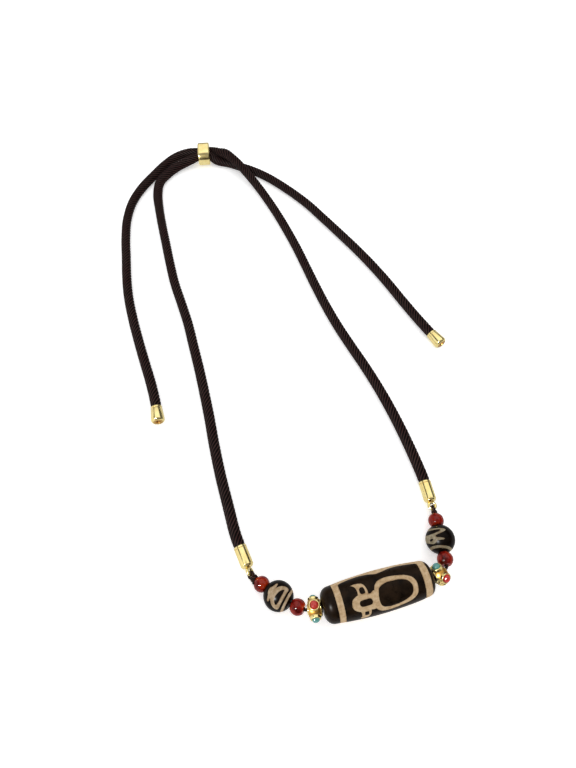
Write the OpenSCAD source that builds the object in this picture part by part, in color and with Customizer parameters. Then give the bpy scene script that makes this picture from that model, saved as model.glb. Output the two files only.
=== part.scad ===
// Dzi bead necklace on two braided cords with a slide ring, lying open on a flat surface.
// All sizes are in millimetres. The beads lie along the front, at negative Y, and the slide
// ring lies at the back. The surface is the plane Z = 0, and the origin is the middle of the
// opening that the neck goes through.

/* [Main bead] */
// Length of the main bead along its hole
dzi_len = 44; // [42:0.5:46]
// Diameter at the middle of the main bead
dzi_d = 16; // [15:0.2:17]
// Diameter of the main bead where its ends start to round off
dzi_end_d = 13.8; // [12:0.2:13.9]
// Radius of the rounded ends
dzi_round = 3.6; // [2:0.2:4.6]

/* [Small beads] */
// Diameter of the two round patterned beads
round_d = 11.8; // [11.6:0.1:12.6]
// Diameter of the four carnelian beads
carnelian_d = 6.4; // [5.8:0.1:6.6]
// Length of a round patterned bead between the small flats at its hole
round_len = 11; // [10.4:0.2:11.4]
// Length of a carnelian bead between the small flats at its hole
carnelian_len = 5.1; // [4.8:0.1:5.7]

/* [Spacers] */
// Length of a spacer along its hole
spacer_len = 5.6; // [5.4:0.1:6.2]
// Diameter of a spacer's body
spacer_d = 7.2; // [6.6:0.1:7.4]
// Diameter across two opposite bezels
bezel_span = 8.2; // [8:0.1:8.8]
// Diameter of a stone
stone_d = 2.9; // [2.8:0.1:3.5]
// Wall of the bezel around a stone
bezel_wall = 0.7; // [0.4:0.05:0.7]
// How far a stone's dome stands out of its bezel
stone_rise = 1.1; // [0.8:0.1:1.6]
// Thickness of the crossed wires between the bezels
wire_d = 0.9; // [0.6:0.1:1]

/* [Thread] */
// Diameter of the thread through the beads
thread_d = 1.3; // [1:0.1:1.4]
// Room between the thread and the hole of a bead, on each side
hole_room = 0.3; // [0.2:0.05:0.4]
// Room between one bead and the next where the thread runs straight
bead_gap = 0.15; // [0.1:0.05:0.4]

/* [Cord and its caps] */
// Diameter of the braided cord
cord_d = 4.7; // [4.4:0.1:4.8]
// Wall of a cap or tip at its mouth
cap_wall = 0.45; // [0.2:0.05:0.5]
// Room between the squeezed cord and the wall around it
cord_room = 0.1; // [0.05:0.05:0.2]
// Length of a cap's tube
cap_len = 8.2; // [7.4:0.2:9]
// Height of a cap's domed end
cap_dome = 1.1; // [0.9:0.1:1.6]
// Outer diameter of a cap's loop
loop_d = 4; // [3.8:0.1:4.6]
// Thickness of the loop's wire
loop_wire = 1; // [0.8:0.1:1]
// Length of a tip
tip_len = 7.8; // [7:0.2:9]
// Diameter of a tip where it is widest
tip_d = 6.2; // [5.4:0.1:6.4]
// Diameter of the hole in a tip's end
tip_hole_d = 2.2; // [1.6:0.1:2.6]

/* [Slide ring] */
// Length of the slide ring along the cords
ring_len = 7; // [6:0.2:7.6]
// Wall of the slide ring
ring_wall = 2.5; // [1.6:0.1:2.6]
// Room between the two cords inside the ring
cord_gap = 0.3; // [0.2:0.1:0.6]
// Bevel along the rims of the ring
ring_bevel = 0.9; // [0.2:0.1:1]

/* [Hidden] */
$fn = 64;

// Sides of the necklace
LEFT = 0;
RIGHT = 1;
// Columns of a point
X = 0;
Y = 1;
Z = 2;

// The main bead's middle and the course of its body, in degrees from +X
dzi_at = [-0.3, -135.1];
dzi_course = -3.5;
// How far off the middle of each end the drilled hole comes out, towards the front
bore_drift = [0, 1.5];
// The slide ring's middle and the course of its opening
ring_at = [0.1, 138.2];
ring_course = -12.5;

// What follows the main bead on each side, from the inside out
SPACER = 0;
INNER = 1;
ROUND = 2;
OUTER = 3;
KNOT = 4;
CAP = 5;
// Course of each piece's hole in plan, in degrees from +X, as the string lies
bead_course = [
    [169, 140, 127, 125, 121, 95.5],
    [19, 73, 76, 68, 76, 82]
];
// Turn of each spacer about its hole, which brings a coral to the front
spacer_turn = [191, 225];
// Turn of each cap's loop about the cap
loop_turn = [50, 0];
// Length of the knot between the last bead and the cap's loop
knot_len = [2.4, 2.2];
// Width of the knot
knot_d = [3.2, 2.3];

hole_d = thread_d + 2 * hole_room;
bezel_d = stone_d + 2 * bezel_wall;
// How deep a stone sits in its bezel, and the room around it there
stone_seat = 1.2;
stone_fit = 0.05;
cap_bore = cord_d - 0.3;
cap_d = cap_bore + 2 * cap_wall;
squeezed_d = cap_bore - 2 * cord_room;
ring_open_h = cord_d + 2 * cord_room;
cord_pitch = cord_d + cord_gap;
ring_h = ring_open_h + 2 * ring_wall;

// The necklace lies on the surface, so a piece's height is its own radius.
dzi_z = dzi_d / 2;
round_z = round_d / 2;
cap_z = cap_d / 2;
ring_z = ring_h / 2;
// How far the thread drops along the spacer and along a round bead, and how high the knot sits
spacer_drop = 0.2;
round_drop = 2;
knot_rise = 0.9;

// Each piece of the string is a ball of this diameter, cut to this length along the thread.
function piece_len(side, i) =
    [spacer_len, carnelian_len, round_len, carnelian_len, knot_len[side], loop_d][i];
function piece_d(side, i) =
    [spacer_d, carnelian_d, round_d, carnelian_d, knot_d[side], loop_d][i];

// Unit vector of a course in plan and a rise, both in degrees
function along(course, rise = 0) =
    [cos(rise) * cos(course), cos(rise) * sin(course), sin(rise)];

// The main bead's hole runs straight from one end to the other.
function bore_exit(side) =
    [dzi_at[X], dzi_at[Y], dzi_z] + (side == LEFT ? -1 : 1) * dzi_len / 2 * along(dzi_course)
    - bore_drift[side] * along(dzi_course + 90);
bore_run = bore_exit(RIGHT) - bore_exit(LEFT);
bore_course = atan2(bore_run[Y], bore_run[X]);
function main_course(side) = side == LEFT ? bore_course + 180 : bore_course;

// A joint is the point where the thread bends between two pieces. The room from the joint to
// a piece keeps its cut ball clear of the plane that halves the bend.
function bend_at(side, i) =
    abs(bead_course[side][i] - (i == 0 ? main_course(side) : bead_course[side][i - 1]));
function ball_reach(side, i, lean) =
    piece_d(side, i) / 2 * cos(max(0, acos(min(1, piece_len(side, i) / piece_d(side, i))) - lean));
function room(side, i, piece) =
    let (lean = bend_at(side, i) / 2)
    (bead_gap / 2 + ball_reach(side, piece, lean)) / cos(lean) - piece_len(side, piece) / 2;
// The main bead's flat end stays square to its own hole, so the first piece takes all the bend.
function first_room(side) =
    let (lean = bend_at(side, 0))
    bead_gap / 2 + ball_reach(side, 0, lean) - piece_len(side, 0) / 2 * cos(lean);
function room_before(side, i) = i == 0 ? first_room(side) : room(side, i, i);
function span(side, i) = room_before(side, i) + piece_len(side, i) + room(side, i + 1, i);

// Height of the thread at each joint, from the main bead out: the round bead rests.
function round_share(side) =
    (room_before(side, ROUND) + piece_len(side, ROUND) / 2) / span(side, ROUND);
function joint_z(side, i) =
    [dzi_z, dzi_z - spacer_drop, round_z + round_drop * round_share(side),
        round_z - round_drop * (1 - round_share(side)), cap_z + knot_rise, cap_z][i];
function rise(side, i) = asin((joint_z(side, i + 1) - joint_z(side, i)) / span(side, i));
function course(side, i) = along(bead_course[side][i], rise(side, i));
function joint(side, i) =
    i == 0
    ? bore_exit(side) + bead_gap / 2 * along(main_course(side))
    : joint(side, i - 1) + span(side, i - 1) * course(side, i - 1);
function middle(side, i) =
    joint(side, i) + (room_before(side, i) + piece_len(side, i) / 2) * course(side, i);

// The cap: the middle of its loop's hole, the tip of its dome and its mouth
function cap_course(side) = along(bead_course[side][CAP]);
function loop_at(side) =
    joint(side, CAP) + (room(side, CAP, CAP) + loop_d / 2) * cap_course(side);
function dome_at(side) = loop_at(side) + (loop_d - loop_wire) / 2 * cap_course(side);
function mouth_at(side) = dome_at(side) + (cap_len + cap_dome) * cap_course(side);

// Middles of the two free tips' mouths, and the course from the mouth to the closed end
tip_mouth = [[-64.6, -26.2], [74.8, -28.4]];
tip_course = [-96, -75];
tip_rest_z = tip_d / 2;

// Routes of the cords: plan place of each point and its lift over a cord that lies flat.
// Each cord leaves its cap, runs up to the slide ring and comes back down to its tip.
right_to_ring = [
    [38.4, -94, 0], [38.8, -81, 0], [38.7, -67, 0], [37.9, -52, 0], [36.3, -37, 0],
    [34.2, -23, 0], [32.3, -9, 0], [31.1, 5, 0], [30.5, 19, 0], [30.2, 33, 0],
    [29.9, 47, 0], [29.1, 61, 0], [27.9, 75, 0], [26.1, 89, 0.1], [23.6, 102, 0.8],
    [20.2, 112.8, 2.7], [17.2, 120.6, 4.5], [14.4, 127, 5.1], [11.6, 132, 5], [9, 135.8, 3.3],
    [6.7, 138.6, 2.6]
];
ring_to_left_tip = [
    [-7, 143.2, 1.8], [-12, 144, 1.1], [-18, 142.9, 0.4], [-25, 138.8, 0], [-33, 131.8, 0],
    [-42, 123.2, 0], [-49.6, 113, 0], [-55.2, 100, 0], [-58.6, 86, 0], [-61, 71.5, 0],
    [-63.3, 57.5, 0], [-64.9, 43.5, 0], [-65.4, 29, 0], [-65.3, 15, 0], [-64.9, 1, 0],
    [-64.4, -13, 0.2]
];
left_to_ring = [
    [-46, -94.5, 0], [-45.6, -82, 0], [-45.1, -68, 0], [-44, -53, 0], [-42.6, -39, 0],
    [-41.5, -25, 0], [-40.6, -11, 0], [-40, 3, 0], [-39.4, 17, 0], [-39.6, 31, 0],
    [-39.9, 45, 0], [-39.2, 60, 0], [-38.2, 74.5, 0], [-37.2, 89, 0], [-35.9, 103, 0],
    [-34.2, 115, 0], [-30.7, 124.8, 0], [-24.8, 130.3, 0.2], [-18.2, 133.9, 0.7], [-11.6, 135.6, 1.5]
];
ring_to_right_tip = [
    [5.6, 132.8, 0.9], [8.8, 131.2, 0.1], [12.2, 129, 0], [17.4, 124.2, 0], [24.6, 117.4, 0],
    [32.4, 107.5, 0], [40.6, 93, 0], [46.9, 79.3, 0], [51.8, 65, 0], [56.4, 51, 0],
    [60.8, 37, 0], [64.6, 23, 0], [67.6, 9.5, 0], [70.2, -5, 0], [72.7, -18, 0.2]
];

// A listed point, with its lift turned into a height
function laid(point) = [point[X], point[Y], cord_d / 2 + point[Z]];
// A point of the slide ring: across is -1 for the near cord and 1 for the far one.
function in_ring(across, out) =
    [ring_at[X], ring_at[Y], ring_z]
    + across * cord_pitch / 2 * along(ring_course + 90)
    + out * along(ring_course);
function tip_point(side, depth) =
    [tip_mouth[side][X], tip_mouth[side][Y], tip_rest_z] + depth * along(tip_course[side]);

cord_depth = 5.5;
ring_face = ring_len / 2 + 0.4;
route_right = concat(
    [mouth_at(RIGHT) - cord_depth * cap_course(RIGHT), mouth_at(RIGHT)],
    [for (p = right_to_ring) laid(p)],
    [in_ring(1, ring_face), in_ring(1, -ring_face)],
    [for (p = ring_to_left_tip) laid(p)],
    [tip_point(LEFT, 0), tip_point(LEFT, cord_depth)]
);
route_left = concat(
    [mouth_at(LEFT) - cord_depth * cap_course(LEFT), mouth_at(LEFT)],
    [for (p = left_to_ring) laid(p)],
    [in_ring(-1, -ring_face), in_ring(-1, ring_face)],
    [for (p = ring_to_right_tip) laid(p)],
    [tip_point(RIGHT, 0), tip_point(RIGHT, cord_depth)]
);

// A tube swept along a route: one ring of corners at each point, square to the route.
// No stretch of the route runs along up, which keeps the rings from turning.
function unit(v) = v / norm(v);
function heading(route, i) =
    unit(route[min(i + 1, len(route) - 1)] - route[max(i - 1, 0)]);
function ring_of(route, i, radius, sides, up) =
    let (ahead = heading(route, i), across = unit(cross(ahead, up)), top = cross(across, ahead))
    [for (k = [0 : sides - 1])
        route[i] + radius * (sin(360 * k / sides) * across - cos(360 * k / sides) * top)];
module tube(route, radii, sides, up = [0, 0, 1]) {
    last = len(route) - 1;
    polyhedron(
        points = [for (i = [0 : last]) each ring_of(route, i, radii[i], sides, up)],
        faces = concat(
            [[for (k = [sides - 1 : -1 : 0]) k]],
            [for (i = [0 : last - 1], k = [0 : sides - 1])
                let (a = i * sides + k, b = i * sides + (k + 1) % sides)
                [a, b, b + sides, a + sides]],
            [[for (k = [0 : sides - 1]) last * sides + k]]
        )
    );
}

// Places its children with their axis on a direction: a point, a course in plan and a rise.
module place(point, course, rise = 0, turn = 0) {
    translate(point) rotate([0, 90 - rise, course]) rotate([0, 0, turn]) children();
}
module on_string(side, i, turn = 0) {
    place(middle(side, i), bead_course[side][i], rise(side, i), turn) children();
}

module dzi_bead() {
    half = dzi_len / 2;
    bulge = (dzi_d - dzi_end_d) / 2;
    straight = half - dzi_round;
    bow = (straight * straight + bulge * bulge) / (2 * bulge);
    body_steps = 10;
    end_steps = 6;
    end_r = dzi_end_d / 2 - dzi_round;
    color("#33261f")
    difference() {
        place([dzi_at[X], dzi_at[Y], dzi_z], dzi_course)
        rotate_extrude()
        polygon(concat(
            [[0, -half]],
            [for (k = [-end_steps : -1]) let (a = 90 * k / end_steps)
                [end_r + dzi_round * cos(a), -straight + dzi_round * sin(a)]],
            [for (k = [-body_steps : body_steps]) let (z = straight * k / body_steps)
                [dzi_d / 2 - bow + sqrt(bow * bow - z * z), z]],
            [for (k = [1 : end_steps]) let (a = 90 * k / end_steps)
                [end_r + dzi_round * cos(a), straight + dzi_round * sin(a)]],
            [[0, half]]
        ));
        place((bore_exit(LEFT) + bore_exit(RIGHT)) / 2, bore_course)
            cylinder(d = hole_d, h = dzi_len + dzi_round, center = true);
    }
}

// A drilled ball with small flats at its hole
module round_bead(d, length) {
    difference() {
        intersection() {
            sphere(d = d);
            cylinder(d = d + 1, h = length, center = true);
        }
        cylinder(d = hole_d, h = d + 1, center = true);
    }
}
module round_dzi(side) {
    color("#2c2622") on_string(side, ROUND) round_bead(round_d, round_len);
}
module carnelian(side, i) {
    color("#8e2a1e") on_string(side, i) round_bead(carnelian_d, carnelian_len);
}

// A spacer is a ball with flat ends, four bezels around it and crossed wires between them.
module spacer(side) {
    body_r = spacer_d / 2;
    face = asin(spacer_len / spacer_d);
    arc_steps = 8;
    color("#d9b24a")
    on_string(side, SPACER, spacer_turn[side])
    difference() {
        union() {
            rotate_extrude()
            polygon(concat(
                [[0, -spacer_len / 2]],
                [for (k = [-arc_steps : arc_steps]) let (a = face * k / arc_steps)
                    body_r * [cos(a), sin(a)]],
                [[0, spacer_len / 2]]
            ));
            for (k = [0 : 3]) {
                rotate([0, 90, 90 * k]) cylinder(d = bezel_d, h = bezel_span / 2);
                rotate([0, 0, 45 + 90 * k]) crossed_wires();
            }
        }
        cylinder(d = hole_d, h = spacer_len + 1, center = true);
        for (k = [0 : 3])
            rotate([0, 90, 90 * k]) translate([0, 0, bezel_span / 2 - stone_seat])
                cylinder(d = stone_d + 2 * stone_fit, h = 2 * stone_seat);
    }
}
module crossed_wires() {
    for (lean = [-1, 1])
        translate([spacer_d / 2 - 0.1 * wire_d, 0, 0]) rotate([lean * 45, 0, 0])
            cylinder(d = wire_d, h = 0.6 * spacer_len, center = true, $fn = 16);
}
// A stone is a short cylinder in its bezel, with a tall round dome.
module stone(side, k) {
    arc_steps = 6;
    on_string(side, SPACER, spacer_turn[side])
    rotate([0, 90, 90 * k]) translate([0, 0, bezel_span / 2])
    rotate_extrude() polygon(concat(
        [[0, stone_fit - stone_seat], [stone_d / 2, stone_fit - stone_seat]],
        [for (i = [0 : arc_steps]) let (a = 90 * i / arc_steps)
            [stone_d / 2 * cos(a), stone_rise * sin(a)]]
    ));
}
module coral(side, k) { color("#c6382c") stone(side, k); }
module turquoise(side, k) { color("#5f9d96") stone(side, k); }

// The cap is a tube with a domed end; its loop is soldered to the dome.
module cap(side) {
    loop_r = (loop_d - loop_wire) / 2;
    color("#e3c56c")
    place(loop_at(side), bead_course[side][CAP]) {
        rotate([0, 0, loop_turn[side]]) rotate([0, 90, 0])
            rotate_extrude() translate([loop_r, 0]) circle(d = loop_wire, $fn = 24);
        translate([0, 0, loop_r]) rotate_extrude() polygon(concat(
            [for (k = [0 : 4]) let (a = 18 * k)
                [0.88 * cap_d / 2 * sin(a), 0.7 * cap_dome * (1 - cos(a))]],
            [[0.88 * cap_d / 2, 0.8 * cap_dome], [cap_d / 2, cap_dome],
                [cap_d / 2, cap_dome + cap_len], [cap_bore / 2, cap_dome + cap_len],
                [cap_bore / 2, cap_dome + cap_len - cord_depth - 1], [0, cap_dome + cap_len - cord_depth - 1]]
        ));
    }
}

module tip(side) {
    mouth_r = cap_d / 2;
    wide_r = tip_d / 2;
    round_r = 1.2;
    color("#e3c56c")
    place([tip_mouth[side][X], tip_mouth[side][Y], tip_rest_z], tip_course[side])
    rotate_extrude() polygon(concat(
        [[cap_bore / 2, 0], [mouth_r, 0], [wide_r, tip_len - 1.6 * round_r]],
        [for (k = [0 : 5]) let (a = 18 * k)
            [wide_r - round_r + round_r * cos(a), tip_len - round_r + round_r * sin(a)]],
        [[tip_hole_d / 2, tip_len], [tip_hole_d / 2, cord_depth + 0.4], [cap_bore / 2, cord_depth + 0.4]]
    ));
}

// The slide ring is a band with straight long sides and round ends, bevelled along its rims.
module slide_ring() {
    inner_r = ring_open_h / 2;
    outer_r = ring_h / 2;
    half = ring_len / 2;
    wall = [
        [inner_r, -half + ring_bevel / 2], [inner_r + ring_bevel / 2, -half],
        [outer_r - ring_bevel, -half], [outer_r, -half + ring_bevel],
        [outer_r, half - ring_bevel], [outer_r - ring_bevel, half],
        [inner_r + ring_bevel / 2, half], [inner_r, half - ring_bevel / 2]
    ];
    color("#dcb95a")
    place([ring_at[X], ring_at[Y], ring_z], ring_course)
    for (end = [0, 180])
        rotate([0, 0, end]) translate([0, cord_pitch / 2, 0]) {
            rotate_extrude(angle = 180) polygon(wall);
            rotate([90, 0, 0]) linear_extrude(cord_pitch) polygon(wall);
        }
}

// Radius of the cord at each point of a route: squeezed where it is held in metal
function cord_radii(count) =
    [for (i = [0 : count - 1]) i < 2 || i > count - 3 ? squeezed_d / 2 : cord_d / 2];
module cord_right() {
    color("#2b1a1b") tube(route_right, cord_radii(len(route_right)), 12);
}
module cord_left() {
    color("#2b1a1b") tube(route_left, cord_radii(len(route_left)), 12);
}

// The thread's own loop goes around the wire of a cap's loop and ends in the knot.
function loop_normal(side) =
    let (turn = loop_turn[side], c = bead_course[side][CAP])
    sin(turn) * along(c + 90) - [0, 0, cos(turn)];
module thread_loop(side) {
    grip = loop_wire / 2 + thread_d / 2 + 0.15;
    wire_at = loop_at(side) - (loop_d - loop_wire) / 2 * cap_course(side);
    arc = [for (a = [-125 : 25 : 125])
        wire_at + grip * (cos(a) * cap_course(side) + sin(a) * loop_normal(side))];
    tube(concat([middle(side, KNOT)], arc, [middle(side, KNOT)]),
        [for (i = [0 : len(arc) + 1]) thread_d / 2], 8, cross(cap_course(side), loop_normal(side)));
}
module bead_thread() {
    string = concat(
        [for (i = [KNOT : -1 : 0]) joint(LEFT, i)],
        [for (i = [0 : KNOT]) joint(RIGHT, i)]
    );
    whole = concat([middle(LEFT, KNOT)], string, [middle(RIGHT, KNOT)]);
    color("#241716") {
        tube(whole, [for (i = [0 : len(whole) - 1]) thread_d / 2], 8);
        for (side = [LEFT, RIGHT]) {
            thread_loop(side);
            on_string(side, KNOT)
                resize([knot_d[side], knot_d[side], knot_len[side]]) sphere(d = knot_len[side], $fn = 12);
        }
    }
}

dzi_bead();
round_dzi(LEFT);  // round_dzi_left
round_dzi(RIGHT);  // round_dzi_right
carnelian(LEFT, INNER);  // carnelian_left_inner
carnelian(LEFT, OUTER);  // carnelian_left_outer
carnelian(RIGHT, INNER);  // carnelian_right_inner
carnelian(RIGHT, OUTER);  // carnelian_right_outer
spacer(LEFT);  // spacer_left
spacer(RIGHT);  // spacer_right
coral(LEFT, 0);  // coral_left_a
turquoise(LEFT, 1);  // turquoise_left_a
coral(LEFT, 2);  // coral_left_b
turquoise(LEFT, 3);  // turquoise_left_b
coral(RIGHT, 0);  // coral_right_a
turquoise(RIGHT, 1);  // turquoise_right_a
coral(RIGHT, 2);  // coral_right_b
turquoise(RIGHT, 3);  // turquoise_right_b
bead_thread();
cap(LEFT);  // cap_left
cap(RIGHT);  // cap_right
cord_left();
cord_right();
tip(LEFT);  // tip_left
tip(RIGHT);  // tip_right
slide_ring();
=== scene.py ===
"""Looks of the dzi bead necklace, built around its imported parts.

The necklace lies open on a pale table: the string of beads at the front, two braided cords
behind it, and the slide ring at the back that both cords run through. Sizes in the classes are
millimetres on a piece's own axes, with Z along its hole or tube. A finished piece's mesh is in
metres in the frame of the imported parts, and its object stays at the origin.
"""

import logging
import math
from collections.abc import Callable, Iterable, Sequence
from dataclasses import dataclass, field, replace
from enum import IntEnum
from functools import partial

import bmesh
import bpy
import numpy as np
from mathutils import Matrix, Vector, noise


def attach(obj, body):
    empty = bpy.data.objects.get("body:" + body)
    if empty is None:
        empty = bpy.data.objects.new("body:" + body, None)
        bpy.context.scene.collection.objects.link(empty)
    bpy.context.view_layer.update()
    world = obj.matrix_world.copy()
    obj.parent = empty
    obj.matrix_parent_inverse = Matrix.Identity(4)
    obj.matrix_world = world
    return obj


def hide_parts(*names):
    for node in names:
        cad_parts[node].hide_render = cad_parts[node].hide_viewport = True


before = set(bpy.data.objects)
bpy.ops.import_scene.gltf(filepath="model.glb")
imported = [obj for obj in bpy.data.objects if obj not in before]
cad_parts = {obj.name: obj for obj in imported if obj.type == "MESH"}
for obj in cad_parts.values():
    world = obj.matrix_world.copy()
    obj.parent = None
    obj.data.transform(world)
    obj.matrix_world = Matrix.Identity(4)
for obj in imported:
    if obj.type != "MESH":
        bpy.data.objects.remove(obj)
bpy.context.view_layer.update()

LOG = logging.getLogger("dzi_necklace")
MM = 0.001
Point = tuple[float, float]
Spot = tuple[float, float, float]


class Side(IntEnum):
    """The two halves of the necklace, as it lies."""

    LEFT = 0
    RIGHT = 1

    @property
    def word(self) -> str:
        """The side as the names of pieces say it."""
        return self.name.lower()


class Place(IntEnum):
    """What follows the main bead on each side, from the inside out."""

    SPACER = 0
    INNER = 1
    ROUND = 2
    OUTER = 3
    KNOT = 4
    CAP = 5


# ---- Finishes ---------------------------------------------------------------------------


def linear(hex_colour: str) -> tuple[float, float, float, float]:
    """Turns an sRGB colour into linear light.

    Args:
        hex_colour: The colour as "#rrggbb".

    Returns:
        Linear red, green, blue and an alpha of 1.
    """
    parts = [int(hex_colour[i : i + 2], 16) / 255 for i in (1, 3, 5)]
    # the curve of the sRGB standard: straight near black, a power above
    return (*[c / 12.92 if c <= 0.04045 else ((c + 0.055) / 1.055) ** 2.4 for c in parts], 1.0)


def per_metre(size_mm: float) -> float:
    """Scale of a noise whose spots have a given size.

    Args:
        size_mm: How wide a spot is, in millimetres.

    Returns:
        The scale for coordinates in metres.
    """
    return 1 / (size_mm * MM)


def add_node(tree: bpy.types.NodeTree, kind: str, settings: dict | None = None) -> bpy.types.Node:
    """Adds a node with its settings and its incoming links.

    Args:
        tree: The node tree that gets the node.
        kind: The node's type name after "ShaderNode".
        settings: What goes into the node, by the name of a property, or by the name or number
            of an input. A property comes before the inputs that it brings into use. A socket is
            linked, and a node by its first output in use. An sRGB hex turns to linear. "stops"
            is a colour ramp's row of (position, colour).

    Returns:
        The new node.
    """
    node = tree.nodes.new(f"ShaderNode{kind}")
    for name, value in (settings or {}).items():
        if name == "stops":
            elements = node.color_ramp.elements
            while len(elements) < len(value):
                elements.new(0.5)
            for element, (position, colour) in zip(elements, value):
                element.position = position
                element.color = linear(colour) if isinstance(colour, str) else colour
            continue
        if isinstance(name, str) and name not in node.inputs:
            setattr(node, name, value)
            continue
        named = (s for s in node.inputs if s.enabled and s.name == name)
        socket = node.inputs[name] if isinstance(name, int) else next(named)
        if isinstance(value, bpy.types.Node):
            value = next(s for s in value.outputs if s.enabled)
        if isinstance(value, bpy.types.NodeSocket):
            tree.links.new(value, socket)
        else:
            socket.default_value = linear(value) if isinstance(value, str) else value
    return node


@dataclass(frozen=True)
class Finish:
    """A material of its own name, built once and shared by the pieces that wear it."""

    label: str
    slot: str = ""

    def material(self) -> bpy.types.Material:
        """Gives the finish's material, and builds it the first time.

        Returns:
            The material.
        """
        known = bpy.data.materials.get(self.label)
        if known:
            return known
        made = bpy.data.materials.new(self.label)
        made.use_nodes = True
        made.node_tree.nodes.clear()
        add = partial(add_node, made.node_tree)
        surface = self.dress(add, add("TexCoord").outputs["Object"])
        add("OutputMaterial", {"Surface": add("BsdfPrincipled", surface)})
        return made

    def dress(self, add: Callable, where: bpy.types.NodeSocket) -> dict:
        """Adds the finish's own nodes.

        Args:
            add: Adds a node to the material: its kind, then its settings.
            where: The piece's object coordinates.

        Returns:
            What goes into the surface shader, by the name of its input.
        """
        raise NotImplementedError


@dataclass(frozen=True)
class EtchedAgate(Finish):
    """Agate, dyed brown-black and etched with alkali, then polished.

    It gives the eye a deep satin ground and matt, slightly mottled pale lines with soft edges.
    The mesh carries "etch_mm", the distance to the nearest pale line, below 0 inside a line.
    """

    label: str = "dyed_etched_agate"
    slot: str = "dzi_agate"
    ground: str = "#281b0f"
    ground_deep: str = "#110a05"
    line: str = "#c6a982"
    line_pale: str = "#d5bc99"
    line_worn: str = "#ac8d69"
    stain: str = "#7c5a3c"
    edge_mm: float = 0.07
    waver_mm: float = 0.16
    halo_mm: float = 0.55

    def dress(self, add: Callable, where: bpy.types.NodeSocket) -> dict:
        """Adds the ground, the etched lines and the dark rim that the etching leaves.

        Args:
            add: Adds a node to the material: its kind, then its settings.
            where: The piece's object coordinates.

        Returns:
            What goes into the surface shader, by the name of its input.
        """
        away = add("Attribute", {"attribute_name": "etch_mm"}).outputs["Fac"]
        waver = add("TexNoise", {"Vector": where, "Scale": per_metre(0.9), "Detail": 2.0})
        waver = add("MapRange", {"Value": waver, "To Min": -self.waver_mm / 2,
                                 "To Max": self.waver_mm / 2})
        away = add("Math", {"operation": "ADD", 0: away, 1: waver})
        inside = add("MapRange", {"interpolation_type": "SMOOTHSTEP", "Value": away,
                                  "From Min": -self.edge_mm, "From Max": self.edge_mm,
                                  "To Min": 1.0, "To Max": 0.0})
        # The ground: slow brown clouds, darkest beside a line.
        cloud = add("TexNoise", {"Vector": where, "Scale": per_metre(5.0), "Detail": 4.0,
                                 "Roughness": 0.6})
        ground = add("ValToRGB", {"Fac": cloud, "stops": (
            (0.35, self.ground_deep), (0.65, self.ground))})
        rim = add("MapRange", {"interpolation_type": "SMOOTHSTEP", "Value": away, "From Min": 0.0,
                               "From Max": self.halo_mm, "To Min": 0.75, "To Max": 0.0})
        ground = add("Mix", {"data_type": "RGBA", "Factor": rim, "A": ground,
                             "B": self.ground_deep})
        # The lines: mottled, pitted, and stained here and there along their edges.
        mottle = add("TexNoise", {"Vector": where, "Scale": per_metre(1.6), "Detail": 5.0,
                                  "Roughness": 0.65})
        line = add("ValToRGB", {"Fac": mottle, "stops": (
            (0.3, self.line_worn), (0.48, self.line), (0.68, self.line_pale))})
        pit = add("TexNoise", {"Vector": where, "Scale": per_metre(0.45), "Detail": 2.0})
        pit = add("MapRange", {"Value": pit, "From Min": 0.62, "From Max": 0.72, "To Max": 0.5})
        line = add("Mix", {"data_type": "RGBA", "Factor": pit, "A": line, "B": self.line_worn})
        border = add("MapRange", {"Value": away, "From Min": -0.45, "From Max": 0.0, "To Max": 0.8})
        patch = add("TexNoise", {"Vector": where, "Scale": per_metre(3.4), "Detail": 2.0})
        patch = add("MapRange", {"Value": patch, "From Min": 0.42, "From Max": 0.68})
        stain = add("Math", {"operation": "MULTIPLY", 0: border, 1: patch})
        line = add("Mix", {"data_type": "RGBA", "Factor": stain, "A": line, "B": self.stain})
        colour = add("Mix", {"data_type": "RGBA", "Factor": inside, "A": ground,
                             "B": line})
        # The polish: glossier on the ground than on the lines, and smeared by handling.
        smear = add("TexNoise", {"Vector": where, "Scale": per_metre(2.5), "Detail": 3.0})
        smear = add("MapRange", {"Value": smear, "From Min": 0.3, "From Max": 0.7,
                                 "To Min": 0.24, "To Max": 0.36})
        gloss = add("Math", {"operation": "MULTIPLY_ADD", 0: inside, 1: 0.2, 2: smear})
        grain = add("TexNoise", {"Vector": where, "Scale": per_metre(0.35), "Detail": 3.0})
        grain = add("Math", {"operation": "MULTIPLY", 0: grain, 1: inside})
        relief = add("Bump", {"Height": grain, "Distance": 0.03 * MM, "Strength": 0.6})
        return {"Base Color": colour, "Roughness": gloss, "IOR": 1.54,
                "Specular IOR Level": 0.05, "Normal": relief}


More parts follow.
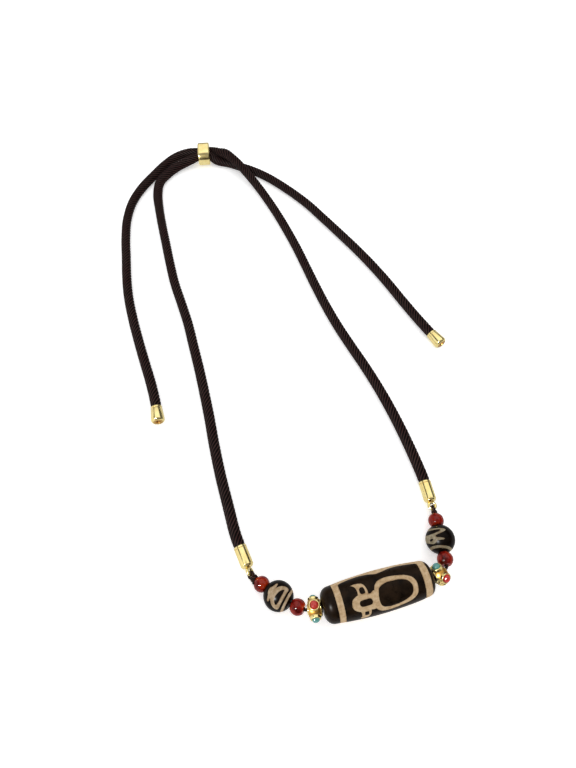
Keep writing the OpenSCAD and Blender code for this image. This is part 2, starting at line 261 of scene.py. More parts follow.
@dataclass(frozen=True)
class Carnelian(Finish):
    """Carnelian, drilled and tumbled to a glassy polish.

    It gives the eye a deep red-brown that lets some light through, so its heart glows in
    uneven orange clouds and its rim stays dark.
    """

    label: str = "polished_carnelian"
    slot: str = "carnelian"
    deep: str = "#4e0704"
    body: str = "#86140a"
    glow: str = "#a83210"

    def dress(self, add: Callable, where: bpy.types.NodeSocket) -> dict:
        """Adds the clouds and the light that goes a little way in.

        Args:
            add: Adds a node to the material: its kind, then its settings.
            where: The piece's object coordinates.

        Returns:
            What goes into the surface shader, by the name of its input.
        """
        cloud = add("TexNoise", {"Vector": where, "Scale": per_metre(3.0), "Detail": 3.0,
                                 "Roughness": 0.5})
        cloud = add("ValToRGB", {"Fac": cloud, "stops": (
            (0.34, self.deep), (0.5, self.body), (0.68, self.glow))})
        vein = add("TexNoise", {"Vector": where, "Scale": per_metre(1.1), "Detail": 5.0,
                                "Roughness": 0.7})
        vein = add("MapRange", {"Value": vein, "From Min": 0.58, "From Max": 0.75, "To Max": 0.3})
        colour = add("Mix", {"data_type": "RGBA", "Factor": vein, "A": cloud, "B": self.deep})
        wave = add("TexNoise", {"Vector": where, "Scale": per_metre(1.5), "Detail": 2.0})
        relief = add("Bump", {"Height": wave, "Distance": 0.03 * MM, "Strength": 0.35})
        return {"Base Color": colour, "Roughness": 0.08, "IOR": 1.54,
                "Specular IOR Level": 0.22, "Subsurface Weight": 0.4,
                "Subsurface Radius": (1.0, 0.25, 0.1), "Subsurface Scale": 1.2 * MM,
                "Normal": relief}


@dataclass(frozen=True)
class GoldPlate(Finish):
    """Brass, polished and plated with pale gold.

    It gives the eye near-white highlights beside dark reflections, with a darker brown painted
    in the hollows as shade. The mesh carries "hollow", 1 where this painted shade is fullest.
    """

    label: str = "polished_gold_plate"
    slot: str = "gold_metal"
    plate: str = "#f8e7a4"
    warm: str = "#f0d78c"
    # the brown of the painted shade in the hollows
    film: str = "#a9741f"
    gloss: float = 0.16

    def dress(self, add: Callable, where: bpy.types.NodeSocket) -> dict:
        """Adds the plate, its faint handling marks and the painted shade in the hollows.

        Args:
            add: Adds a node to the material: its kind, then its settings.
            where: The piece's object coordinates.

        Returns:
            What goes into the surface shader, by the name of its input.
        """
        hollow = add("Attribute", {"attribute_name": "hollow"}).outputs["Fac"]
        tone = add("TexNoise", {"Vector": where, "Scale": per_metre(3.0), "Detail": 4.0})
        tone = add("ValToRGB", {"Fac": tone, "stops": ((0.35, self.plate), (0.7, self.warm))})
        patch = add("TexNoise", {"Vector": where, "Scale": per_metre(0.6), "Detail": 3.0})
        patch = add("MapRange", {"Value": patch, "From Min": 0.2, "From Max": 0.7,
                                 "To Min": 0.7, "To Max": 1.0})
        # Painted shade: the hollows darken to brown, unevenly, where little light would reach.
        film = add("Math", {"operation": "MULTIPLY", 0: hollow, 1: patch})
        colour = add("Mix", {"data_type": "RGBA", "Factor": film, "A": tone, "B": self.film})
        marks = add("TexNoise", {"Vector": where, "Scale": per_metre(1.2), "Detail": 5.0,
                                 "Roughness": 0.7})
        marks = add("MapRange", {"Value": marks, "From Min": 0.3, "From Max": 0.75,
                                 "To Min": self.gloss - 0.04, "To Max": self.gloss + 0.07})
        gloss = add("Math", {"operation": "MULTIPLY_ADD", 0: film, 1: 0.25, 2: marks})
        wave = add("TexNoise", {"Vector": where, "Scale": per_metre(0.8), "Detail": 3.0})
        relief = add("Bump", {"Height": wave, "Distance": 0.01 * MM, "Strength": 0.3})
        return {"Base Color": colour, "Roughness": gloss, "Metallic": 1.0,
                "Normal": relief}


@dataclass(frozen=True)
class InlayStone(Finish):
    """A small cabochon, ground and polished, of red coral or turquoise.

    Coral gives the eye an even warm red with faint growth lines, and turquoise a waxy
    blue-green with darker clouds and a thin brown web.
    """

    label: str = "red_coral"
    slot: str = "red_coral"
    body: str = "#cd0f07"
    pale: str = "#dc2011"
    dark: str = "#7c0a05"
    web: float = 0.0

    def dress(self, add: Callable, where: bpy.types.NodeSocket) -> dict:
        """Adds the clouds, the web, painted shade at the dome's foot and a waxy polish.

        Args:
            add: Adds a node to the material: its kind, then its settings.
            where: The piece's object coordinates.

        Returns:
            What goes into the surface shader, by the name of its input.
        """
        cloud = add("TexNoise", {"Vector": where, "Scale": per_metre(1.4), "Detail": 4.0,
                                 "Roughness": 0.6})
        cloud = add("ValToRGB", {"Fac": cloud, "stops": (
            (0.3, self.dark), (0.5, self.body), (0.7, self.pale))})
        cells = add("TexVoronoi", {"feature": "DISTANCE_TO_EDGE", "Vector": where,
                                   "Scale": per_metre(1.3)})
        line = add("MapRange", {"Value": cells, "From Max": 0.06,
                                "To Min": self.web, "To Max": 0.0})
        colour = add("Mix", {"data_type": "RGBA", "Factor": line, "A": cloud, "B": "#3b2a1c"})
        # Painted shade: the foot of the dome, down in the bezel, is darker than its top.
        foot = add("Attribute", {"attribute_name": "foot"}).outputs["Fac"]
        colour = add("Mix", {"data_type": "RGBA", "Factor": foot, "A": colour, "B": self.dark})
        wave = add("TexNoise", {"Vector": where, "Scale": per_metre(0.5), "Detail": 2.0})
        relief = add("Bump", {"Height": wave, "Distance": 0.01 * MM, "Strength": 0.3})
        return {"Base Color": colour, "Roughness": 0.18, "IOR": 1.55,
                "Specular IOR Level": 0.02, "Subsurface Weight": 0.05,
                "Subsurface Scale": 0.4 * MM, "Normal": relief}


@dataclass(frozen=True)
class SatinYarn(Finish):
    """Polyester filament yarn, plaited or twisted tight.

    It gives the eye near-black brown valleys between slanting ridges with a soft reddish sheen;
    the ridges' sheen is a painted highlight and the dark valleys are painted shade. The mesh
    carries "ridge", 1 along the top of a strand and 0 between two, and "lay_mm", the place along
    and across the strands.
    """

    label: str = "satin_braid"
    slot: str = "braided_cord"
    # The valley colour is painted shade and the ridge colour a painted highlight.
    valley: str = "#050101"
    body: str = "#0d0605"
    ridge: str = "#3f2c29"
    tinted: str = "#351313"
    filament_mm: float = 0.14

    def dress(self, add: Callable, where: bpy.types.NodeSocket) -> dict:
        """Adds the painted highlight on the ridges and painted shade in the valleys, the filaments
        along them and the sheen.

        Args:
            add: Adds a node to the material: its kind, then its settings.
            where: The piece's object coordinates.

        Returns:
            What goes into the surface shader, by the name of its input.
        """
        ridge = add("Attribute", {"attribute_name": "ridge"}).outputs["Fac"]
        lay = add("Attribute", {"attribute_name": "lay_mm"}).outputs["Vector"]
        # Filaments are 0.02 mm thick; they are drawn coarser, so that they show.
        fine = add("Mapping", {"Vector": lay, "Scale": (
            0.25 / self.filament_mm, 1 / self.filament_mm, 1.0)})
        thread = add("TexNoise", {"Vector": fine, "Scale": 1.0, "Detail": 2.0})
        # A slow noise across the plait makes the painted highlight and shade uneven.
        plait = add("Mapping", {"Vector": lay, "Scale": (0.55, 0.55, 1.0)})
        plait = add("TexNoise", {"Vector": plait, "Scale": 1.0, "Detail": 1.0})
        uneven = add("Math", {"operation": "ADD", 0: thread, 1: plait})
        uneven = add("MapRange", {"Value": uneven, "From Min": 0.6, "From Max": 1.4,
                                  "To Min": -0.22, "To Max": 0.22})
        # Painted light: the ridge tops take the highlight colour and the valleys the shade colour.
        lit = add("Math", {"operation": "ADD", 0: ridge, 1: uneven})
        tone = add("ValToRGB", {"Fac": lit, "stops": (
            (0.3, self.valley), (0.5, self.body), (0.78, self.ridge))})
        fade = add("TexNoise", {"Vector": where, "Scale": per_metre(7.0), "Detail": 3.0})
        fade = add("MapRange", {"Value": fade, "From Min": 0.45, "From Max": 0.7, "To Max": 0.6})
        blush = add("Mix", {"data_type": "RGBA", "blend_type": "DARKEN", "Factor": fade, "A": tone,
                            "B": self.tinted})
        rough = add("MapRange", {"Value": lit, "From Min": 0.1, "From Max": 0.9,
                                 "To Min": 0.75, "To Max": 0.42})
        relief = add("Bump", {"Height": thread, "Distance": 0.05 * MM, "Strength": 0.5})
        return {"Base Color": blush, "Roughness": rough, "Specular IOR Level": 0.05,
                "Sheen Weight": 0.02, "Sheen Roughness": 0.4, "Sheen Tint": "#8a6664",
                "Normal": relief}


@dataclass(frozen=True)
class TablePaper(Finish):
    """Smooth matt white card under the necklace; it gives the eye an even pale ground."""

    label: str = "white_card"

    def dress(self, add: Callable, where: bpy.types.NodeSocket) -> dict:
        """Adds a faint tooth to the card.

        Args:
            add: Adds a node to the material: its kind, then its settings.
            where: The piece's object coordinates.

        Returns:
            What goes into the surface shader, by the name of its input.
        """
        tooth = add("TexNoise", {"Vector": where, "Scale": per_metre(0.8), "Detail": 3.0})
        tone = add("ValToRGB", {"Fac": tooth, "stops": ((0.3, "#fafafa"), (0.7, "#fdfdfd"))})
        return {"Base Color": tone, "Roughness": 0.85, "Specular IOR Level": 0.2,
                "Emission Color": "#ffffff", "Emission Strength": 0.45}


AGATE = EtchedAgate()
AGATE_WARM = replace(AGATE, label="dyed_etched_agate_warm", ground="#160e08", ground_deep="#080402",
                     line="#b29a7b", line_pale="#cab69a", line_worn="#947a58", waver_mm=0.1)
AGATE_GREY = replace(AGATE_WARM, label="dyed_etched_agate_grey", line="#90856c",
                     line_pale="#b0a48c", line_worn="#716750")
CARNELIAN = Carnelian()
GOLD = GoldPlate()
CORAL = InlayStone()
TURQUOISE = InlayStone(label="turquoise", slot="turquoise", body="#628e83", pale="#84ab9d",
                       dark="#2b5849", web=0.55)
BRAID = SatinYarn()
# The thread too has painted shade in its valleys and a painted highlight on its ridges.
THREAD = SatinYarn(label="waxed_thread", slot="thread", valley="#0a0605", body="#2a1a17",
                   ridge="#4a302a", tinted="#2a1a17", filament_mm=0.1)


# ---- Meshes -----------------------------------------------------------------------------


def turned(degrees: float, axis: str) -> Matrix:
    """Turn about an axis.

    Args:
        degrees: How far.
        axis: "X", "Y" or "Z".

    Returns:
        The turning matrix.
    """
    return Matrix.Rotation(math.radians(degrees), 4, axis)


def placed(point: Vector, course: float, rise: float = 0.0, turn: float = 0.0) -> Matrix:
    """Puts a piece's Z on a course in plan and a rise.

    Args:
        point: Where the piece's origin goes, in millimetres.
        course: Degrees from +X.
        rise: Degrees above level.
        turn: Degrees that the piece turns about its own Z.

    Returns:
        The placing matrix, from millimetres to millimetres.
    """
    return (Matrix.Translation(point) @ turned(course, "Z") @ turned(90 - rise, "Y")
            @ turned(turn, "Z"))


def along(course: float, rise: float = 0.0) -> Vector:
    """Unit vector of a course in plan and a rise.

    Args:
        course: Degrees from +X.
        rise: Degrees above level.

    Returns:
        The vector.
    """
    c, r = math.radians(course), math.radians(rise)
    return Vector((math.cos(r) * math.cos(c), math.cos(r) * math.sin(c), math.sin(r)))


def arc(middle: Point, radius: float, start: float, end: float, steps: int) -> list[Point]:
    """Points on an arc of a profile.

    Args:
        middle: Radius and height of the arc's middle.
        radius: The arc's radius.
        start: First angle in degrees, 0 pointing outwards and 90 up.
        end: Last angle in degrees.
        steps: Number of stretches.

    Returns:
        Radius and height of each point.
    """
    angles = [math.radians(start + (end - start) * k / steps) for k in range(steps + 1)]
    return [(middle[0] + radius * math.cos(a), middle[1] + radius * math.sin(a)) for a in angles]


def spaced(start: float, end: float, gap: float) -> list[float]:
    """Even steps from start to end, both ends included.

    Args:
        start: First value.
        end: Last value.
        gap: Widest step.

    Returns:
        The values.
    """
    count = max(2, math.ceil(abs(end - start) / gap) + 1)
    return [float(v) for v in np.linspace(start, end, count)]


def spun(profile: Sequence[Point], steps: int, closed: bool = True) -> bmesh.types.BMesh:
    """Turns a profile about Z into a closed skin.

    Args:
        profile: Radius and height of each point, in millimetres.
        steps: Number of steps around.
        closed: Joins the last point to the first; an open profile starts and ends on Z.

    Returns:
        The skin.
    """
    bm = bmesh.new()
    verts = [bm.verts.new((r, 0.0, z)) for r, z in profile]
    pairs = list(zip(verts, verts[1:])) + ([(verts[-1], verts[0])] if closed else [])
    edges = [bm.edges.new(pair) for pair in pairs]
    bmesh.ops.spin(bm, geom=verts + edges, cent=(0, 0, 0), axis=(0, 0, 1), angle=math.tau,
                   steps=steps, use_merge=True)
    bmesh.ops.remove_doubles(bm, verts=bm.verts[:], dist=1e-4)
    bmesh.ops.recalc_face_normals(bm, faces=bm.faces[:])
    return bm


def joined(target: bmesh.types.BMesh, part: bmesh.types.BMesh, matrix: Matrix) -> None:
    """Adds a placed copy of one skin to another and frees it.

    Args:
        target: The skin that grows.
        part: The skin that is added.
        matrix: Where it goes.
    """
    bmesh.ops.transform(part, matrix=matrix, verts=part.verts[:])
    passed = bpy.data.meshes.new("passing")
    part.to_mesh(passed)
    part.free()
    target.from_mesh(passed)
    bpy.data.meshes.remove(passed)


def settled(
    bm: bmesh.types.BMesh,
    name: str,
    node: str,
    matrix: Matrix,
    finish: Finish,
    values: dict[str, np.ndarray] | None = None,
    sharp: float = 40.0,
) -> bpy.types.Object:
    """Makes a skin a finished piece that rides with the necklace.

    Args:
        bm: The skin in millimetres on its own axes; it is freed.
        name: The piece's name.
        node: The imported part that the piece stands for.
        matrix: Where the piece lies, in millimetres.
        finish: What the piece wears.
        values: Values at the skin's points, by name.
        sharp: Bend in degrees above which an edge stays sharp.

    Returns:
        The piece's object.
    """
    bmesh.ops.transform(bm, matrix=Matrix.Scale(MM, 4) @ matrix, verts=bm.verts[:])
    mesh = bpy.data.meshes.new(name)
    bm.to_mesh(mesh)
    bm.free()
    return kept(mesh, node, finish, values, sharp)


def kept(
    mesh: bpy.types.Mesh,
    node: str,
    finish: Finish,
    values: dict[str, np.ndarray] | None = None,
    sharp: float = 180.0,
) -> bpy.types.Object:
    """Args:
        mesh: The mesh, in metres and in place.
        node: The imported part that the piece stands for.
        finish: What the piece wears.
        values: Values at the mesh's points, by name: one or three numbers for each.
        sharp: Bend in degrees above which an edge stays sharp.

    Returns:
        The piece's object.
    """
    for label, data in (values or {}).items():
        flat = np.asarray(data, dtype=np.float32)
        kind, key = ("FLOAT", "value") if flat.ndim == 1 else ("FLOAT_VECTOR", "vector")
        mesh.attributes.new(label, kind, "POINT").data.foreach_set(key, flat.ravel())
    mesh.shade_smooth()
    if sharp < 180:
        mesh.set_sharp_from_angle(angle=math.radians(sharp))
    mesh.materials.append(finish.material())
    piece = bpy.data.objects.new(mesh.name, mesh)
    bpy.context.scene.collection.objects.link(piece)
    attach(piece, "root")
    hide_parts(node)
    LOG.info("%s: %d faces", piece.name, len(mesh.polygons))
    return piece


def corners(bm: bmesh.types.BMesh) -> np.ndarray:
    """Places of a skin's points.

    Args:
        bm: The skin.

    Returns:
        The places, one row for each point.
    """
    bm.verts.index_update()
    return rows(v.co for v in bm.verts)


def swayed(bm: bmesh.types.BMesh, depth: float, size: float, seed: float) -> None:
    """Gives a skin the slight unevenness of hand work.

    Args:
        bm: The skin, with its normals up to date.
        depth: How far a point may move.
        size: How wide a dent is.
        seed: Where in the noise the piece lies.
    """
    bm.normal_update()
    shift = Vector((seed, 2 * seed, 3 * seed))
    for vert in bm.verts:
        vert.co += vert.normal * depth * noise.noise(vert.co / size + shift)


def rows(points: Iterable[Vector]) -> np.ndarray:
    """Places of points as numbers.

    Args:
        points: The points.

    Returns:
        The places, one row for each point.
    """
    return np.array([p[:] for p in points])


def run_along(line: np.ndarray) -> np.ndarray:
    """How far along a line its points lie.

    Args:
        line: The points, one row for each.

    Returns:
        The distance of each point from the first, along the line.
    """
    return np.concatenate([[0], np.cumsum(np.linalg.norm(np.diff(line, axis=0), axis=1))])


def evenly(line: np.ndarray, gap: float) -> np.ndarray:
    """The same line in even steps.

    Args:
        line: The points, one row for each.
        gap: Step length along the line.

    Returns:
        The line's new points.
    """
    run = run_along(line)
    wanted = np.linspace(0, run[-1], max(2, round(run[-1] / gap) + 1))
    return np.stack([np.interp(wanted, run, line[:, k]) for k in range(3)], axis=1)


def smooth_line(points: np.ndarray, gap: float, fineness: int = 24) -> np.ndarray:
    """A smooth line through given points, in even steps.

    Args:
        points: The points, one row for each.
        gap: Step length along the line.
        fineness: Steps that the curve is first worked out in, between two given points.

    Returns:
        The line's points.
    """
    ends = np.vstack([2 * points[0] - points[1], points, 2 * points[-1] - points[-2]])
    fine = []
    for p0, p1, p2, p3 in zip(ends, ends[1:], ends[2:], ends[3:]):
        t1 = np.linalg.norm(p1 - p0) ** 0.5
        t2 = t1 + np.linalg.norm(p2 - p1) ** 0.5
        t3 = t2 + np.linalg.norm(p3 - p2) ** 0.5
        for t in np.linspace(t1, t2, fineness, endpoint=False):
            a1 = p0 * (t1 - t) / t1 + p1 * t / t1
            a2 = p1 * (t2 - t) / (t2 - t1) + p2 * (t - t1) / (t2 - t1)
            a3 = p2 * (t3 - t) / (t3 - t2) + p3 * (t - t2) / (t3 - t2)
            b1 = a1 * (t2 - t) / t2 + a2 * t / t2
            b2 = a2 * (t3 - t) / (t3 - t1) + a3 * (t - t1) / (t3 - t1)
            fine.append(b1 * (t2 - t) / (t2 - t1) + b2 * (t - t1) / (t2 - t1))
    return evenly(np.array(fine + [points[-1]]), gap)


@dataclass
class Rope:
    """Strands laid around a line, right-handed, with a valley between each two."""

    radius: float
    strands: int
    lead: float
    groove: float
    per_strand: int = 6
    strand_step: float = 7.3
    verts: list[np.ndarray] = field(default_factory=list)
    faces: list[tuple[int, ...]] = field(default_factory=list)
    ridge: list[np.ndarray] = field(default_factory=list)
    lay: list[np.ndarray] = field(default_factory=list)

    def run(self, line: np.ndarray, squeeze: np.ndarray | None = None, start: float = 0.0,
            spread: np.ndarray | None = None) -> None:
        """Lays the strands along a line and closes both ends.

        Args:
            line: The line's points, in millimetres.
            squeeze: Share of the full radius at each point, or full everywhere.
            start: Turn of the strands at the line's start, in turns.
            spread: How much wider than high the rope is at each point, or round everywhere.
        """
        count, sides = len(line), self.strands * self.per_strand
        ahead = np.gradient(line, axis=0)
        ahead /= np.linalg.norm(ahead, axis=1)[:, None]
        across = np.zeros_like(line)
        guess = np.cross(ahead[0], (0, 0, 1.0))
        if np.linalg.norm(guess) < 0.1:
            guess = np.cross(ahead[0], (0, 1.0, 0))
        for i in range(count):  # carried along, so that it never flips
            guess = guess - ahead[i] * (guess @ ahead[i])
            guess = guess / np.linalg.norm(guess)
            across[i] = guess
        top = np.cross(across, ahead)
        run = run_along(line)
        part = (np.arange(sides) % self.per_strand) / self.per_strand * 2 - 1
        height = np.sqrt(np.clip(1 - part**2, 0, 1))
        reach = self.radius - self.groove * (1 - height)
        share = np.ones(count) if squeeze is None else squeeze
        turns = np.arange(sides)[None] / sides + start
        angle = math.tau * turns - math.tau * run[:, None] / self.lead
        aside = across if spread is None else across * spread[:, None]
        ring = line[:, None] + reach[None, :, None] * share[:, None, None] * (
            np.cos(angle)[..., None] * top[:, None] - np.sin(angle)[..., None] * aside[:, None])
        first = sum(len(v) for v in self.verts)
        self.verts.append(ring.reshape(-1, 3))
        for i in range(count - 1):
            low = first + i * sides
            for k in range(sides):
                n = (k + 1) % sides
                self.faces.append((low + k, low + sides + k, low + sides + n, low + n))
        self.faces.append(tuple(first + k for k in range(sides)))
        self.faces.append(tuple(first + (count - 1) * sides + k for k in reversed(range(sides))))
        self.ridge.append(np.tile(1 - np.abs(part), count))
        width = math.tau * self.radius / self.strands
        strand = np.arange(sides) // self.per_strand
        lay = np.stack([
            np.repeat(run, sides) * math.hypot(1, math.tau * self.radius / self.lead),
            np.tile((part / 2 + strand) * width, count),
            np.tile(strand * self.strand_step, count)], axis=1)
        self.lay.append(lay)

    def piece(self, name: str, node: str, finish: Finish) -> bpy.types.Object:
        """Makes the laid strands a finished piece.

        Args:
            name: The piece's name.
            node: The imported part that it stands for.
            finish: What it wears.

        Returns:
            The piece's object.
        """
        mesh = bpy.data.meshes.new(name)
        mesh.from_pydata((np.vstack(self.verts) * MM).tolist(), [], self.faces)
        skin = bmesh.new()
        skin.from_mesh(mesh)
        bmesh.ops.recalc_face_normals(skin, faces=skin.faces[:])
        skin.to_mesh(mesh)
        skin.free()
        return kept(mesh, node, finish,
                    {"ridge": np.concatenate(self.ridge), "lay_mm": np.vstack(self.lay)})


# ---- The string's lie -------------------------------------------------------------------


@dataclass
class BeadString:
    """Works out where each piece of the string lies, from the main bead outwards.

    A joint is the point where the thread bends between two pieces. Each piece keeps clear of
    the plane that halves the bend.
    """

    main_at: Point = (-0.3, -135.1)
    main_course: float = -3.5
    main_len: float = 44.0
    main_d: float = 16.0
    bore_drift: Point = (0.0, 1.5)
    gap: float = 0.15
    lengths: tuple[float, ...] = (5.6, 5.1, 11.0, 5.1)
    widths: tuple[float, ...] = (7.2, 6.4, 11.8, 6.4)
    knot_len: Point = (2.4, 2.2)
    knot_d: Point = (3.2, 2.3)
    loop_d: float = 4.0
    loop_wire: float = 1.0
    cap_len: float = 8.2
    cap_dome: float = 1.1
    cap_d: float = 5.3
    spacer_drop: float = 0.2
    round_drop: float = 2.0
    knot_rise: float = 0.9
    courses: tuple[tuple[float, ...], ...] = (
        (169, 140, 127, 125, 121, 95.5),
        (19, 73, 76, 68, 76, 82),
    )

    def length(self, side: Side, i: int) -> float:
        """Length of a piece along the thread."""
        return (*self.lengths, self.knot_len[side], self.loop_d)[i]

    def width(self, side: Side, i: int) -> float:
        """Diameter of the ball that a piece is cut from."""
        return (*self.widths, self.knot_d[side], self.loop_d)[i]

    def ball(self, place: Place) -> float:
        """Radius of the ball that a bead or a spacer is cut from."""
        return self.widths[place] / 2

    def half(self, place: Place) -> float:
        """Half a bead's or a spacer's length along its hole."""
        return self.lengths[place] / 2

    def bore_exit(self, side: Side) -> Vector:
        """Where the main bead's hole comes out.

        Args:
            side: Which side of the necklace.

        Returns:
            The middle of the opening, in millimetres.
        """
        way = -1 if side is Side.LEFT else 1
        middle = Vector((*self.main_at, self.main_d / 2))
        return (middle + way * self.main_len / 2 * along(self.main_course)
                - self.bore_drift[side] * along(self.main_course + 90))

    def course(self, side: Side, i: int) -> float:
        """Course in plan of a piece's hole.

        Args:
            side: Which side of the necklace.
            i: The piece, counted from the spacer out; -1 stands for the main bead.

        Returns:
            Degrees from +X.
        """
        if i >= 0:
            return self.courses[side][i]
        run = self.bore_exit(Side.RIGHT) - self.bore_exit(Side.LEFT)
        return math.degrees(math.atan2(run.y, run.x)) + (180 if side is Side.LEFT else 0)

    def reach(self, side: Side, i: int, lean: float) -> float:
        """How far a cut ball reaches towards a leaning plane.

        Args:
            side: Which side of the necklace.
            i: The piece, counted from the spacer out.
            lean: Degrees between the plane and the piece's flat ends.

        Returns:
            The distance from the ball's middle, in millimetres.
        """
        length, width = self.length(side, i), self.width(side, i)
        rim = math.degrees(math.acos(min(1, length / width)))
        return width / 2 * math.cos(math.radians(max(0, rim - lean)))

    def room(self, side: Side, i: int, piece: int) -> float:
        """Room from a joint to the piece before or after it.

        Args:
            side: Which side of the necklace.
            i: The joint, counted from the main bead out.
            piece: The piece, which is i or the one before it.

        Returns:
            The room along the thread, in millimetres.
        """
        lean = abs(self.course(side, i) - self.course(side, i - 1))
        if i == 0:  # the main bead's flat end stays square to its own hole
            return (self.gap / 2 + self.reach(side, 0, lean)
                    - self.length(side, 0) / 2 * math.cos(math.radians(lean)))
        lean /= 2
        return ((self.gap / 2 + self.reach(side, piece, lean)) / math.cos(math.radians(lean))
                - self.length(side, piece) / 2)

    def span(self, side: Side, i: int) -> float:
        """Length of the thread from one joint to the next."""
        return self.room(side, i, i) + self.length(side, i) + self.room(side, i + 1, i)

    def height(self, side: Side, i: int) -> float:
        """Height of the thread at a joint; the round bead rests on the table.

        Args:
            side: Which side of the necklace.
            i: The joint, counted from the main bead out.

        Returns:
            The height above the table, in millimetres.
        """
        k = Place.ROUND
        share = (self.room(side, k, k) + self.length(side, k) / 2) / self.span(side, k)
        rest, cap = self.width(side, k) / 2, self.cap_d / 2
        return (self.main_d / 2, self.main_d / 2 - self.spacer_drop, rest + self.round_drop * share,
                rest - self.round_drop * (1 - share), cap + self.knot_rise, cap)[i]

    def rise(self, side: Side, i: int) -> float:
        """Rise of a piece's hole in degrees."""
        drop = self.height(side, i + 1) - self.height(side, i)
        return math.degrees(math.asin(drop / self.span(side, i)))

    def joint(self, side: Side, i: int) -> Vector:
        """Where the thread bends before a piece.

        Args:
            side: Which side of the necklace.
            i: The joint, counted from the main bead out.

        Returns:
            The place in millimetres.
        """
        if i == 0:
            return self.bore_exit(side) + self.gap / 2 * along(self.course(side, -1))
        way = along(self.course(side, i - 1), self.rise(side, i - 1))
        return self.joint(side, i - 1) + self.span(side, i - 1) * way

    def middle(self, side: Side, i: int) -> Vector:
        """Middle of a piece."""
        way = along(self.course(side, i), self.rise(side, i))
        return self.joint(side, i) + (self.room(side, i, i) + self.length(side, i) / 2) * way

    def seat(self, side: Side, place: Place, turn: float = 0.0) -> Matrix:
        """Placing matrix of a piece, turned about its hole."""
        i = place
        return placed(self.middle(side, i), self.course(side, i), self.rise(side, i), turn)

    def cap_way(self, side: Side) -> Vector:
        """Direction of a cap, from its loop to its mouth."""
        return along(self.course(side, Place.CAP))

    def loop_at(self, side: Side) -> Vector:
        """Middle of the hole in a cap's loop."""
        i = Place.CAP
        return self.joint(side, i) + (self.room(side, i, i) + self.loop_d / 2) * self.cap_way(side)

    def mouth_at(self, side: Side) -> Vector:
        """Middle of a cap's mouth."""
        tube = (self.loop_d - self.loop_wire) / 2 + self.cap_len + self.cap_dome
        return self.loop_at(side) + tube * self.cap_way(side)


# ---- Etched patterns --------------------------------------------------------------------


@dataclass
class Outline:
    """A closed line on a bead's skin: millimetres along the hole and degrees around it.

    Degrees count from the top, towards the front of the necklace on the main bead.
    """

    points: tuple[Point, ...]
    per_stretch: int = 6

    def chart(self) -> np.ndarray:
        """Draws the closed line smoothly through its points.

        Returns:
            Place along the hole and degrees around it, one row for each fine step.
        """
        given = np.array(self.points, dtype=float)
        t = np.linspace(0, 1, self.per_stretch, endpoint=False)[:, None]
        fine = []
        for i in range(len(given)):
            p0, p1, p2, p3 = (given[(i + k) % len(given)] for k in (-1, 0, 1, 2))
            fine.append(0.5 * (2 * p1 + (p2 - p0) * t + (2 * p0 - 5 * p1 + 4 * p2 - p3) * t**2
                               + (3 * p1 - p0 - 3 * p2 + p3) * t**3))
        return np.vstack(fine)

    def distance(self, skin: np.ndarray, radius_at: Callable, about: float,
                 flip: float | None, squash: float) -> np.ndarray:
        """Distance from points of the skin to the line, below 0 inside it.

        Args:
            skin: Points of the bead's skin, in millimetres on its own axes.
            radius_at: The skin's radius at a place along the hole.
            about: Degrees by which the line is turned about the hole.
            flip: Mirrors the line lengthwise about half this place, or leaves it.
            squash: Share of its width around the hole that the line keeps.

        Returns:
            The distances in millimetres.
        """
        line = self.chart()
        centre = line[:, 1].mean()
        line[:, 1] = centre + (line[:, 1] - centre) * squash + about
        if flip is not None:
            line[:, 0] = flip - line[:, 0]
        a, r = np.radians(line[:, 1]), radius_at(line[:, 0])
        solid = np.stack([-r * np.cos(a), -r * np.sin(a), line[:, 0]], axis=1)
        best = np.full(len(skin), np.inf)
        round_at = np.degrees(np.arctan2(-skin[:, 1], -skin[:, 0]))
        round_at = (round_at - line[:, 1].mean() + 180) % 360 - 180 + line[:, 1].mean()
        inside = np.zeros(len(skin), dtype=bool)
        for k in range(len(line)):
            n = (k + 1) % len(line)
            way = solid[n] - solid[k]
            size = way @ way
            share = np.clip((skin - solid[k]) @ way / size, 0, 1) if size else np.zeros(len(skin))
            best = np.minimum(best, np.linalg.norm(skin - solid[k] - share[:, None] * way, axis=1))
            (z0, a0), (z1, a1) = line[k], line[n]
            if z0 != z1:
                hit = (z0 > skin[:, 2]) != (z1 > skin[:, 2])
                inside ^= hit & (round_at < a0 + (skin[:, 2] - z0) * (a1 - a0) / (z1 - z0))
        return np.where(inside, -best, best)


@dataclass
class Motif:
    """Pale shapes with dark holes in them."""

    shapes: tuple[Outline, ...]
    holes: tuple[Outline, ...]

    def distance(self, skin: np.ndarray, radius_at: Callable, about: float = 0.0,
                 flip: float | None = None, squash: float = 1.0) -> np.ndarray:
        """Distance from points of the skin to the pale shapes, below 0 inside them.

        Args:
            skin: Points of the bead's skin, in millimetres on its own axes.
            radius_at: The skin's radius at a place along the hole.
            about: Degrees by which the motif is turned about the hole.
            flip: Mirrors the motif lengthwise about half this place, or leaves it.
            squash: Share of its width around the hole that the motif keeps.

        Returns:
            The distances in millimetres.
        """
        given = (skin, radius_at, about, flip, squash)
        pale = np.min([shape.distance(*given) for shape in self.shapes], axis=0)
        dark = np.min([hole.distance(*given) for hole in self.holes], axis=0)
        return np.maximum(pale, -dark)


# ---- Beads ------------------------------------------------------------------------------


